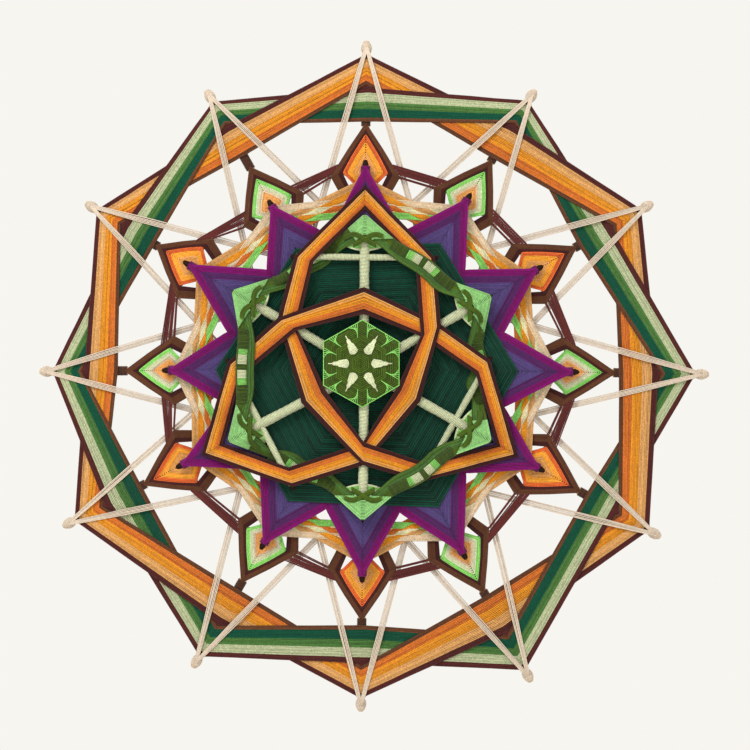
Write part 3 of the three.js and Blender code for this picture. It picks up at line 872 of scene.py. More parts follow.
@dataclass
class CreamRun:
    """One natural yarn run: wound ends on six sticks, and loose strands from each to its neighbours."""

    side: Side
    strand_width: float = 5.2
    threads: int = 5
    thread: float = 0.4
    strand_in: float = 98.0
    inner_turns: int = 9
    ball_r: float = 4.65
    ball_length: float = 12.0
    ball_turns: int = 12
    ball_wide: float = 1.25
    ball_least: float = 1.2
    ball_curve: Pair = (0.13, 0.74)
    ball_leave: float = 0.45
    # A strand starts narrow at the ball and has its full width after this share of its way
    narrow: float = 0.5
    spread_by: float = 0.2

    def strand(self, hour: int, way: int, offset: float) -> Path:
        """Follows one thread of a strand from the wound end to its inner turn.

        Args:
            hour: spoke of the wound end.
            way: 1 for a strand to the next spoke, -1 for one to the spoke before.
            offset: place of the thread across the strand.

        Returns:
            The path.
        """
        start = flat(hour, at(S.reach, hour) - self.ball_length * self.ball_leave)
        end = flat(hour + way, self.strand_in)
        across = clockwise((end - start) / np.linalg.norm(end - start))
        low = D.frame_tip + (S.yarn + S.fit if self.side is Side.EVEN else 0.0)
        steps = (
            (0.0, D.on_frame),
            (0.04, D.on_band),
            (0.25, D.on_band),
            (0.46, D.on_band),
            (0.58, low),
            (0.78, low),
            (0.9, D.on_frame),
            (1.0, D.on_frame),
        )
        path = []
        for share, depth in steps:
            spread = self.narrow + (1 - self.narrow) * min(share / self.spread_by, 1.0)
            path.append(place(between(start, end, share) + across * offset * spread, depth + S.yarn / 2))
        return path

    def build(self) -> None:
        """Makes the run with its wound ends."""
        node = f"cream_run_{self.side.name.lower()}"
        skein = Skein(f"{node}_yarn")
        yarn = Dye.STRAND.value
        pitch = self.strand_width / self.threads
        for hour in range(self.side.value, 12, 2):
            for way in (-1, 1):
                for k in range(self.threads):
                    offset = (k - (self.threads - 1) / 2) * pitch + skein.rng.normal(0, SHAKE)
                    skein.lay(self.strand(hour, way, offset), yarn, S.yarn * self.thread)
            for k in range(self.ball_turns):
                share = (k + 0.5) / self.ball_turns
                swell = math.sin(math.pi * (self.ball_curve[0] + self.ball_curve[1] * share))
                around = self.ball_r * swell - S.yarn * 0.5
                spot = at(S.reach, hour) - self.ball_length * share
                skein.turn(hour, spot, yarn, around=max(around, self.ball_least), wide=self.ball_wide)
            for k in range(self.inner_turns):
                skein.turn(hour + 1, self.strand_in + (k - self.inner_turns // 2) * S.yarn, yarn)
        skein.make(node)


@dataclass
class Petal:
    """A kite of wound yarn on one spoke and its short bar."""

    hour: int
    bar_half: float = 21.0
    bar_sides: int = 12
    eye_deep: float = 17.8
    eye_half: float = 18.0
    bulge: float = 0.7
    blunt: float = 0.03
    thread: float = 0.6
    spots: Row = (0.12, 0.4, 0.65, 0.88)
    bare_courses: int = 3

    @property
    def bar(self) -> float:
        """Radius of the bar."""
        return at(S.bar_at, self.hour)

    @property
    def top(self) -> float:
        """Radius of the eye's outer point."""
        return at(S.eye_at, self.hour)

    @property
    def courses(self) -> list[Yarn]:
        """Picks the dyes of a warm or a green petal.

        Returns:
            The yarn of each course, from the middle outwards.
        """
        if self.hour % 2:
            return shades((Dye.APRICOT, 8), (Dye.BLUSH, 2), (Dye.CREAM, 3), (Dye.BRIGHT, 3))
        return shades((Dye.APRICOT, 8), (Dye.MARIGOLD, 4), (Dye.VERMILION, 3))

    def kite(self, share: float, skein: Skein) -> Path:
        """Follows one course round the eye.

        Args:
            share: size of the course as a share of the eye's.
            skein: piece whose random numbers it takes.

        Returns:
            The closed path.
        """
        mid = S.yarn / 2 + skein.rng.normal(0, SHAKE)
        sag = D.on_bar + (D.on_frame - D.on_bar) * share + mid
        wide = self.eye_half * share
        middle = flat(self.hour, self.bar)
        corners = [
            place(flat(self.hour, self.bar + (self.top - self.bar) * share), sag),
            place(beside(self.hour, self.bar, wide), D.on_bar + mid),
            place(flat(self.hour, self.bar - self.eye_deep * share), sag),
            place(beside(self.hour, self.bar, -wide), D.on_bar + mid),
        ]
        path = []
        for k, here in enumerate(corners):
            then = corners[(k + 1) % 4]
            path += [between(here, corners[k - 1], self.blunt), between(here, then, self.blunt)]
            for part in self.spots:
                point = between(here, then, part)
                away = np.array([point[0] - middle[0], 0.0, point[2] - middle[1]])
                away /= max(np.linalg.norm(away), 1e-6)
                bow = self.bulge * share * math.sin(math.pi * part) if k in (0, 3) else 0.0
                path.append(point + away * bow)
        return path

    def bar_turn(self, skein: Skein, offset: float, yarn: Yarn) -> None:
        """Lays one turn round the bar.

        Args:
            skein: piece that takes the turn.
            offset: distance from the spoke, clockwise above zero.
            yarn: the yarn.
        """
        along = clockwise(outward(self.hour, self.bar))
        around = S.bar_r + S.yarn / 2
        skein.ring(beside(self.hour, self.bar, offset), along, D.bar_level, (around, around), yarn)

    def build(self) -> None:
        """Makes the bar and the eye."""
        name = hour_name(self.hour)
        bar = Skein(f"stick_petal_bar_{name}")
        offsets = np.linspace(-1, 1, 5) * self.bar_half
        path = [place(beside(self.hour, self.bar, t), D.bar_level) for t in offsets]
        bar.lay(path, BIRCH, S.bar_r, sides=self.bar_sides)
        bar.make(f"petal_bar_{name}")
        skein = Skein(f"petal_eye_{name}_yarn")
        for i, yarn in enumerate(self.courses):
            share = (i + 0.6) / len(self.courses)
            skein.lay(self.kite(share, skein), yarn, S.yarn * self.thread, True)
            for way in (-1, 1):
                self.bar_turn(skein, way * self.eye_half * share, yarn)
            if i >= self.bare_courses:
                for end in (self.top, self.bar - self.eye_deep):
                    skein.turn(self.hour, self.bar + (end - self.bar) * share, yarn)
        skein.make(f"petal_eye_{name}")


@dataclass
class PetalBorder:
    """Brown and maroon yarn round every petal, the stems, and the straight runs that join the petals."""

    border: float = 9.7
    peak: float = 11.0
    shift: float = -3.6
    eye_gap: Pair = (0.6, 0.8)
    bulge: float = 0.7
    bulge_at: float = 180.0
    thread: float = 0.6
    bar_turns: int = 5
    bar_first: float = 0.7
    bar_pitch: float = 0.8
    leg_in: float = 105.0
    leg_wide: float = 14.0
    leg_wound: float = 8.0
    neck: Pair = (1.5, 2.0)
    wound_round: float = 0.55
    wound_wide: float = 1.1
    link_half: float = 5.5
    link_drops: Row = (-1.0, 0.1, 1.2, 2.3, 3.4, 4.5, 5.6, 6.7, 9.0, 9.9)
    link_jitter: float = 0.12
    link_thread: float = 0.47
    link_ends: Pair = (-3.0, 0.8)
    link_rise: Pair = (-0.4, 0.3)

    def top(self, hour: int) -> float:
        """Returns the radius of the border's outer point."""
        return min(at(S.eye_at, hour) + self.peak, at(S.mid_in, hour) - 4 * S.fit)

    def outline(self, petal: Petal, share: float) -> Path:
        """Follows one course round a petal.

        Args:
            petal: the petal.
            share: place of the course, from 0 next to the eye to 1 outside.

        Returns:
            The closed path.
        """
        hour = petal.hour
        side_gap, top_gap = self.eye_gap
        low = petal.top + top_gap
        mid = S.yarn / 2
        wide = petal.eye_half + side_gap + (self.border - side_gap) * share
        corners = [
            place(flat(hour, low + (self.top(hour) - low) * share), D.on_frame + mid),
            place(beside(hour, petal.bar + self.shift * share, wide), D.on_bar + mid),
            place(flat(hour, self.leg_in + self.leg_wide * (1 - share)), D.on_frame + S.fit + mid),
            place(beside(hour, petal.bar + self.shift * share, -wide), D.on_bar + mid),
        ]
        path = []
        for k, here in enumerate(corners):
            path += [between(here, corners[(k + 1) % 4], part) for part in (0.0, 0.1, 0.5, 0.9)]
        if self.top(hour) > low:
            # The middles of the two outer sides bulge
            for k in (2, 14):
                path[k] = path[k] + place(outward(hour, self.bulge_at), 0.0) * self.bulge
        return path

    def build(self) -> None:
        """Makes the border of all petals as one piece."""
        skein = Skein("petal_border_yarn")
        rows = shades((Dye.OXBLOOD, 4), (Dye.UMBER, 7))
        for hour in range(12):
            petal = Petal(hour)
            for i, yarn in enumerate(rows):
                skein.lay(self.outline(petal, (i + 0.4) / len(rows)), yarn, S.yarn * self.thread, True)
            for i in range(self.bar_turns):
                for way in (-1, 1):
                    offset = way * (petal.eye_half + self.bar_first + i * self.bar_pitch)
                    petal.bar_turn(skein, offset, rows[2 * i])
            self.wind(skein, hour, self.top(hour) - self.neck[0], at(S.mid_in, hour) + self.neck[1])
            self.wind(skein, hour, self.leg_in, self.leg_in + self.leg_wound)
            self.link(skein, petal, Petal((hour + 1) % 12))
        skein.make("petal_border")

    def wind(self, skein: Skein, hour: int, start: float, end: float) -> None:
        """Winds brown yarn round a spoke.

        Args:
            skein: piece that takes the turns.
            hour: the spoke.
            start: radius of the first turn.
            end: radius of the last turn.
        """
        around = S.frame_r + S.yarn * self.wound_round
        for k in range(int((end - start) / S.yarn) + 1):
            skein.turn(hour, start + k * S.yarn, Dye.UMBER.value, around=around, wide=self.wound_wide)

    def link(self, skein: Skein, here: Petal, then: Petal) -> None:
        """Lays the maroon threads from one petal's corner to the next one's.

        Args:
            skein: piece that takes the threads.
            here: petal at the start.
            then: next petal, clockwise.
        """
        tucked, out = self.link_rise
        for drop in np.array(self.link_drops) + skein.rng.normal(0, self.link_jitter, len(self.link_drops)):
            ends = []
            for petal, way in ((here, 1), (then, -1)):
                spot = petal.bar + self.link_half - drop
                slope = (self.top(petal.hour) - petal.bar - self.shift) / (petal.eye_half + self.border)
                outer = petal.eye_half + self.border - max(self.link_half - drop - self.shift, 0.0) / slope
                ends += [beside(petal.hour, spot, way * (outer + part)) for part in self.link_ends]
            path = [place(ends[k], D.on_bar + up) for k, up in ((0, tucked), (1, out), (3, out), (2, tucked))]
            path.insert(2, (path[1] + path[2]) / 2)
            skein.lay(path, Dye.WINE.value, S.yarn * self.link_thread)


@dataclass
class Braid:
    """One of the two narrow rings behind the star; their stripes weave through each other."""

    side: Side
    stripes: list[tuple[Dye, int]]
    slot: str
    back: float = 4.0
    middle: float = 137.5
    width: float = 16.0
    steps: int = 24
    crossing: float = 0.055
    thread: float = 0.66

    def outer(self, hour: int, own: bool = True) -> float:
        """Finds the outer edge of a ring at a spoke.

        Args:
            hour: the spoke.
            own: whether this ring is meant, or the other one.

        Returns:
            The edge's radius.
        """
        if (hour % 2 == self.side.value) == own:
            return (at(S.bar_at, hour) + S.bar_mean) / 2 - self.back
        return self.middle

    def lift(self, stripe: int, drop: float, hour: int, part: float) -> float:
        """Works out how far a stripe lies over or under.

        Args:
            stripe: number of the stripe.
            drop: distance of the course from the ring's outer edge.
            hour: spoke at the start.
            part: share of the way to the next spoke.

        Returns:
            The lift, less than zero where the stripe passes under.
        """
        own = (self.outer(hour), self.outer(hour + 1))
        other = (self.outer(hour, False), self.outer(hour + 1, False))
        count = len(self.stripes)
        raised = 0.0
        for k in range(count):
            apart = other[0] - (k + 0.5) / count * self.width - own[0] + drop
            meet = apart / (own[1] - own[0] - other[1] + other[0])
            sign = 1 if ((stripe + k) % 2 == 0) == (self.side is Side.ODD) else -1
            raised += sign * math.exp(-(((part - meet) / self.crossing) ** 2))
        return raised * D.weave

    def build(self) -> None:
        """Makes the ring from its courses."""
        skein = Skein(f"{self.slot}_yarn")
        level = D.braid_level + S.yarn / 2
        for stripe, (dye, count) in enumerate(self.stripes):
            for k in range(count):
                drop = (stripe + (k + 0.5) / count) * self.width / len(self.stripes)
                path = []
                for hour in range(12):
                    here = flat(hour, self.outer(hour) - drop)
                    then = flat(hour + 1, self.outer(hour + 1) - drop)
                    for part in np.linspace(0, 1, self.steps + 1)[:-1]:
                        up = self.lift(stripe, drop, hour, part)
                        path.append(place(between(here, then, part), level + up))
                skein.lay(path, dye.value, S.yarn * self.thread, True)
        skein.make(self.slot)


@dataclass
class StarWinding:
    """One colour of the twelve-pointed star, wound from point to notch to point."""

    name: str
    yarn: Yarn
    slot: str
    outer: float
    inner: float
    tip: float = 162.0
    pitch: float = 0.95
    thread: float = 0.68
    notch_thread: float = 0.7
    notch_back: float = 0.6
    turn_wide: float = 1.1
    depth_jitter: float = 0.12
    shake: float = 0.06
    mean_radius: float = 120.0
    spots: Row = (0.0, 0.06, 0.35, 0.65, 0.94)

    def size(self, hour: int) -> float:
        """Returns the size of a point as a share of the usual."""
        return at(S.star_at, hour) / self.tip

    def notch(self, hour: int, away: float) -> Point:
        """Returns the notch after a point, for a course whose sides pass the crossing at a distance."""
        return flat(hour + 0.5, math.sqrt(2) * away * (self.size(hour) + self.size(hour + 1)) / 2)

    def course(self, away: float, skein: Skein) -> Path:
        """Follows one course round the star, with its turns round the sticks.

        Args:
            away: distance at which the course's sides pass the crossing.
            skein: piece that takes the turns.

        Returns:
            The closed path.
        """
        level = D.on_star + S.yarn / 2 + skein.rng.normal(0, self.depth_jitter)
        path = []
        for hour in range(12):
            tip = 2 * away * self.size(hour)
            beyond = flat(hour + 1, 2 * away * self.size(hour + 1))
            corners = [flat(hour, tip), self.notch(hour, away), beyond]
            for here, then in zip(corners[:-1], corners[1:]):
                for part in self.spots:
                    stray = 1 + skein.rng.normal(0, self.shake) / self.mean_radius
                    path.append(place(between(here, then, part) * stray, level))
            for step in (0.0, S.yarn):
                around = S.star_r + S.yarn
                skein.turn(hour, tip - step, self.yarn, D.star_level, around, self.turn_wide)
        return path

    def build(self) -> None:
        """Makes the winding from its courses."""
        skein = Skein(f"{self.name}_yarn")
        deep = self.outer - self.inner
        count = round(deep / (S.yarn * self.pitch))
        for i in range(count):
            path = self.course(self.outer - (i + 0.5) * deep / count, skein)
            skein.lay(path, self.yarn, S.yarn * self.thread, True)
        # A short thread lies behind the turn in each notch, so no light comes through it
        for hour in range(12):
            ends = [self.notch(hour, away) for away in (self.outer - self.notch_back, self.inner)]
            skein.lay([place(p, D.on_star) for p in ends], self.yarn, S.yarn * self.notch_thread)
        skein.make(self.name)


@dataclass
class GreenField:
    """The dark green woven hexagon that covers the middle of the star."""

    rise: float = 1.1
    start: float = 0.05
    count: int = 58
    thread: float = 0.95
    depth_jitter: float = 0.14
    ridge: float = 0.25
    least_radius: float = 12.0
    spots: Row = (0.05, 0.27, 0.5, 0.73, 0.95)

    def build(self) -> None:
        """Makes the field from hexagon courses on the odd star sticks."""
        skein = Skein("green_field_yarn")
        for i in range(self.count):
            share = 1 - (i + 0.5) * (1 - self.start) / self.count
            level = D.field_level + S.yarn / 2 + self.rise * (1 - share)
            level += skein.rng.normal(0, self.depth_jitter)
            path = []
            for hour in range(1, 12, 2):
                here = flat(hour, at(S.field_at, hour, 1, 2) * share)
                then = flat(hour + 2, at(S.field_at, hour + 2, 1, 2) * share)
                path.append(place(here, level + self.ridge))
                for part in self.spots:
                    point = between(here, then, part)
                    stray = skein.rng.normal(0, SHAKE) / max(np.linalg.norm(point), self.least_radius)
                    path.append(place(point * (1 + stray), level + skein.rng.normal(0, SHAKE)))
            skein.lay(path, Dye.FOREST.value, S.yarn * self.thread, True)
        skein.make("green_field")


@dataclass
class WrappedCross:
    """Three sticks wound with cream yarn, and a wound bar near one end of each."""

    reach: float = 109.0
    bar_half: float = 58.0
    stick_bare: float = 0.4
    bar_bare: float = 4.0
    bar_core: float = 0.8
    thread: float = 0.56
    steps: int = 8
    swells: tuple[Pair, ...] = ((0.12, 0.031), (0.08, 0.173))

    def wind(self, skein: Skein, start: Point, end: Point, around: float, bare: float) -> None:
        """Winds yarn along a stick from end to end.

        Args:
            skein: piece that takes the yarn.
            start: first end of the stick.
            end: other end.
            around: radius over the yarn.
            bare: length left bare at each end.
        """
        length = np.linalg.norm(end - start)
        along = (end - start) / length
        path = []
        for k in range(int((length - 2 * bare) / S.yarn) * self.steps + 1):
            angle = k / self.steps * 2 * math.pi
            swell = around - S.yarn / 2
            for much, often in self.swells:
                swell += much * math.sin(k * often)
            point = start + along * (bare + k / self.steps * S.yarn)
            point = point + clockwise(along) * swell * math.cos(angle)
            path.append(place(point, D.cross_level + swell * math.sin(angle)))
        axis = np.array([along[0], 0.0, along[1]])
        skein.lay(path, Dye.CREAM.value, S.yarn * self.thread, ref=axis, sides=5)

    def build(self) -> None:
        """Makes the three sticks and their bars."""
        for hour in (0, 4, 8):
            name = hour_name(hour)
            skein = Skein(f"cross_stick_{name}_yarn")
            ends = [flat(h, r) for h, r in ((hour, self.reach), (hour, S.hub))]
            ends += [flat(h, r) for h, r in ((hour + 6, S.hub), (hour + 6, self.reach))]
            skein.lay([place(p, D.cross_level) for p in ends], BIRCH, S.cross_r - S.yarn, sides=14)
            for inner, outer in ((ends[1], ends[0]), (ends[2], ends[3])):
                self.wind(skein, inner, outer, S.cross_r, self.stick_bare)
            skein.make(f"cross_stick_{name}_{hour_name(hour + 6)}")
            bar = Skein(f"crossbar_{name}_yarn")
            tips = [beside(hour, at(S.crossbar_at, hour, 0, 4), way * self.bar_half) for way in (-1, 1)]
            core = S.crossbar_r - S.yarn * self.bar_core
            bar.lay([place(p, D.cross_level) for p in tips], STAINED, core, sides=12)
            self.wind(bar, tips[0], tips[1], S.crossbar_r, self.bar_bare)
            bar.make(f"crossbar_{name}")


@dataclass
class Knot:
    """The three-lobed knot: one band of courses that passes over and under itself."""

    shoulder: float = 55.5
    tip_width: float = 19.5
    bend_width: float = 21.3
    turn_width: float = 18.0
    shoulder_width: Pair = (15.0, 4.0)
    dive: float = 2.0
    thread: float = 0.54
    depth_jitter: float = 0.12

    def corners(self) -> list[tuple[Point, Point]]:
        """Finds the corners of the band.

        Returns:
            The outer and the inner edge at each corner, in order along the band.
        """
        made = []
        for hour in (0, 8, 16):
            made += [
                self._spoke(hour, at(S.knot_tip, hour, 0, 4), self.tip_width),
                self._shoulder(hour, 1),
                self._spoke(hour + 2, at(S.knot_turn, hour + 2, 2, 4), self.turn_width),
                self._spoke(hour + 4, at(S.knot_bend, hour + 4, 0, 4), self.bend_width),
                self._spoke(hour + 6, at(S.knot_turn, hour + 6, 2, 4), self.turn_width),
                self._shoulder(hour + 8, -1),
            ]
        return made

    def _spoke(self, hour: int, radius: float, width: float) -> tuple[Point, Point]:
        """Returns both edges of a corner on a spoke."""
        return flat(hour, radius), flat(hour, radius - width)

    def _shoulder(self, hour: int, way: int) -> tuple[Point, Point]:
        """Finds a corner on the end of a crossbar.

        Args:
            hour: spoke of the crossbar.
            way: 1 for its clockwise end, -1 for the other.

        Returns:
            The outer and the inner edge.
        """
        bar = at(S.crossbar_at, hour, 0, 4)
        across, back = self.shoulder_width
        inner = beside(hour, bar - back, way * (self.shoulder - across))
        return beside(hour, bar, way * self.shoulder), inner

    def levels(self) -> list[list[Pair]]:
        """Lists how deep the band lies.

        Returns:
            For each side of a third of the knot, shares along it with their depths.
        """
        low = D.on_star + S.yarn + S.fit
        over = D.on_cross + S.knot_thick + S.fit
        bar, cross = D.on_crossbar, D.on_cross
        return [
            [(0, low), (0.35, low + self.dive), (0.62, bar)],
            [(0, bar), (0.55, bar), (0.78, over)],
            [(0, over), (0.35, over)],
            [(0, (cross + over) / 2), (0.6, cross)],
            [(0, cross), (0.4, cross)],
            [(0, bar), (0.38, bar), (0.8, D.on_cord)],
        ]

    def course(self, share: float, skein: Skein) -> Path:
        """Follows one course along the whole band.

        Args:
            share: place of the course, from 0 at the outer edge to 1 at the inner.
            skein: piece whose random numbers it takes.

        Returns:
            The closed path.
        """
        corners = [between(outer, inner, share) for outer, inner in self.corners()]
        levels = self.levels()
        drift = S.knot_thick / 2 + skein.rng.normal(0, self.depth_jitter)
        marks = []
        for i, here in enumerate(corners):
            then = corners[(i + 1) % len(corners)]
            marks += [place(between(here, then, part), up + drift) for part, up in levels[i % len(levels)]]
        path = []
        for i, here in enumerate(marks):
            for part in (0.0, 0.5):
                shake = np.array([skein.rng.normal(0, SHAKE), 0.0, skein.rng.normal(0, SHAKE)])
                path.append(between(here, marks[(i + 1) % len(marks)], part) + shake)
        return path

    def build(self) -> None:
        """Makes the knot from its courses."""
        skein = Skein("knot_band_yarn")
        blend = ((Dye.PEACH, 1), (Dye.ORANGE, 1), (Dye.PEACH, 1), (Dye.ORANGE, 5), (Dye.RUST, 5))
        rows = shades((Dye.OXBLOOD, 4), *blend, (Dye.OXBLOOD, 4))
        for i, yarn in enumerate(rows):
            skein.lay(self.course((i + 0.5) / len(rows), skein), yarn, S.yarn * self.thread, True)
        skein.make("knot_band")


@dataclass
class CordHexagon:
    """Green yarn on the six ends of the cross, gathered into bound cords half-way along each side."""

    deep: float = 18.5
    fall: float = 0.86
    middle: float = 94.5
    width: float = 15.0
    # The inner edge falls slowly to an offset from the spoke and then faster, clear of the crossbar
    inner_bend: float = 12.0
    inner_falls: Pair = (0.5, 0.95)
    bar_clear: Pair = (4.0, 23.0)
    # Offsets and depths of a side that dives under the knot
    dive: tuple[Pair, ...] = ((12.0, 31.0), (22.0, 26.0), (30.0, 25.4))
    flat_half: float = 4.5
    thread: float = 0.56
    bound_at: float = 0.66
    bound_half: Pair = (4.6, 3.6)
    bound_deep: float = 1.5
    bound_wide: float = 1.05
    point_courses: int = 13
    point_pitch: float = 1.2
    point_first: float = 0.6
    point_rise: float = 0.75
    point_start: float = 1.5
    point_middle: float = 0.6
    point_thread: float = 0.55
    # First length, loss with each course and least length, on an open side and beside the knot
    point_open: tuple[float, float, float] = (22.0, 1.35, 6.5)
    point_tight: tuple[float, float, float] = (13.0, 0.5, 6.0)
    # Offset, drop from the point and rise of the threads that cross below it
    crossing: tuple[tuple[float, float, float], ...] = (
        (-9.0, 26.5, 0.6),
        (0.0, 21.6, 1.7),
        (5.0, 18.6, 1.7),
        (10.0, 17.6, 1.6),
        (16.5, 20.5, 0.6),
    )
    crossing_threads: int = 4
    crossing_thread: float = 0.55
    leaf_drop: float = 25.5
    leaf_half: float = 14.5
    leaf_wide: float = 3.3
    leaf_threads: int = 8
    leaf_edge: float = 0.6
    leaf_rise: Pair = (-2.0, 2.5)
    leaf_thread: float = 0.52

    def tip(self, hour: int) -> float:
        """Returns the radius of the point on a spoke."""
        return at(S.cord_point, hour, 0, 2)

    def steps(self, over: bool) -> list[Pair]:
        """Lists offsets from a spoke with the depths of a side.

        Args:
            over: whether the side passes over the knot.

        Returns:
            Pairs of offset and depth.
        """
        level = [(0.0, D.on_cross), (self.flat_half, D.on_cross)]
        if over:
            return level + [(12.0, D.on_cross + S.fit), (25.0, self.high(True))]
        return level + list(self.dive)

    def high(self, over: bool) -> float:
        """Returns the depth of a side half-way along."""
        return D.on_crossbar + S.knot_thick + S.fit if over else D.on_field

    def front(self, hour: int, offset: float) -> float:
        """Returns the depth of the cords' front at an offset from a spoke, clockwise above zero."""
        spots, depths = zip(*self.steps((hour % 4 == 0) == (offset > 0)))
        return float(np.interp(abs(offset), spots, depths)) + S.cord_thick

    def spot(self, hour: int, offset: float, share: float) -> Point:
        """Finds a point beside a spoke.

        Args:
            hour: the spoke.
            offset: distance from the spoke, clockwise above zero.
            share: place across the cord, from 0 at the inner edge to 1 at the outer.

        Returns:
            The point as x and z.
        """
        away = abs(offset)
        slow, fast = self.inner_falls
        bend = self.inner_bend
        falls = slow * away if away < bend else slow * bend + fast * (away - bend)
        low = self.tip(hour) - self.deep - falls
        if hour % 4 == 0 and self.bar_clear[0] < away < self.bar_clear[1]:
            low = max(low, at(S.crossbar_at, hour, 0, 4) + S.crossbar_r + 2 * S.fit)
        return beside(hour, low + (self.tip(hour) - self.fall * away - low) * share, offset)

    def side(self, hour: int, share: float) -> Path:
        """Follows one strand along the side that starts at an hour.

        Args:
            hour: spoke at the start.
            share: place across the cord, from 0 at the inner edge to 1 at the outer.

        Returns:
            The path.
        """
        over = hour % 4 == 0
        up = S.cord_thick / 2
        steps = self.steps(over)
        path = [place(self.spot(hour, offset, share), depth + up) for offset, depth in steps]
        mid = flat(hour + 1, self.middle + (share - 0.5) * self.width)
        path.append(place(mid, self.high(over) + up))
        path += [place(self.spot(hour + 2, -offset, share), depth + up) for offset, depth in steps[::-1]]
        return softened(path)

    def build(self) -> None:
        """Makes the six sides, their bindings and the points as one piece."""
        skein = Skein("cord_hexagon_yarn")
        pair = ((Dye.OLIVE, 1), (Dye.MID_GREEN, 1))
        rows = shades(*pair, (Dye.OLIVE, 1), (Dye.MID_GREEN, 2), *pair, (Dye.OLIVE, 3), (Dye.MOSS, 4))
        for hour in range(0, 12, 2):
            for i, yarn in enumerate(rows):
                skein.lay(self.side(hour, (i + 0.5) / len(rows)), yarn, S.yarn * self.thread)
            self.bind(skein, hour)
            self.point(skein, hour)
            self.cross(skein, hour)
            self.leaf(skein, hour)
        skein.make("cord_hexagon")

    def bind(self, skein: Skein, hour: int) -> None:
        """Winds the coloured turns round the outer half of a side.

        Args:
            skein: piece that takes the turns.
            hour: spoke at the start of the side.
        """
        path = np.array(self.side(hour, self.bound_at))
        run = np.concatenate([[0], np.cumsum(np.linalg.norm(np.diff(path, axis=0), axis=1))])
        one, other = ((Dye.BRIGHT, 5), (Dye.CREAM, 6)), ((Dye.CREAM, 7), (Dye.BRIGHT, 4))
        marks = shades((Dye.OLIVE, 13), *one, (Dye.OLIVE, 4), *other, (Dye.OLIVE, 14))
        first = (run[-1] - len(marks) * S.yarn) / 2
        for k, yarn in enumerate(marks):
            spot = first + (k + 0.5) * S.yarn
            point, ahead = [
                np.array([np.interp(s, run, path[:, axis]) for axis in (0, 2, 1)]) for s in (spot, spot + 1)
            ]
            along = ahead[:2] - point[:2]
            along /= np.linalg.norm(along)
            wide = self.bound_half[0 if yarn is Dye.OLIVE.value else 1]
            skein.ring(point[:2], along, -point[2], (wide, self.bound_deep), yarn, self.bound_wide)

    def point(self, skein: Skein, hour: int) -> None:
        """Lays the light green courses over the stick's end.

        Args:
            skein: piece that takes the courses.
            hour: the stick's spoke.
        """
        for k in range(self.point_courses):
            halves = []
            for way in (-1, 1):
                is_open = way > 0 or hour % 4
                first, loss, least = self.point_open if is_open else self.point_tight
                length = max(first - loss * k, least)
                half = []
                for offset in (self.point_start, self.flat_half, self.point_middle * length, length):
                    top = self.tip(hour) - self.point_first - self.point_pitch * k - self.fall * offset
                    depth = self.front(hour, way * offset) + self.point_rise
                    half.append(place(beside(hour, top, way * offset), depth))
                halves.append(half)
            skein.lay(halves[0][::-1] + halves[1], Dye.LIGHT_GREEN.value, S.yarn * self.point_thread)

    def cross(self, skein: Skein, hour: int) -> None:
        """Lays the dark threads that cross below a point and run into the cords.

        Args:
            skein: piece that takes the threads.
            hour: the point's spoke.
        """
        for way in (-1, 1):
            for k in range(self.crossing_threads):
                path = []
                for offset, drop, up in self.crossing:
                    point = beside(hour, self.tip(hour) - drop + k, way * offset)
                    path.append(place(point, self.front(hour, way * offset) + up))
                skein.lay(softened(path), Dye.OLIVE.value, S.yarn * self.crossing_thread)

    def leaf(self, skein: Skein, hour: int) -> None:
        """Lays the small leaf of cream and green yarn that hangs across the stick.

        Args:
            skein: piece that takes the threads.
            hour: the stick's spoke.
        """
        middle = (self.leaf_threads - 1) / 2
        for k in range(self.leaf_threads):
            share = (k - middle) / middle
            yarn = Dye.CREAM.value if abs(share) > self.leaf_edge else Dye.BRIGHT.value
            path = []
            for part in np.linspace(-1, 1, 9):
                belly = 1 - part * part
                spot = self.tip(hour) - self.leaf_drop + self.leaf_wide * share * belly
                depth = D.cross_level + self.leaf_rise[0] + self.leaf_rise[1] * belly
                path.append(place(beside(hour, spot, part * self.leaf_half), depth))
            skein.lay(path, yarn, S.yarn * self.leaf_thread)


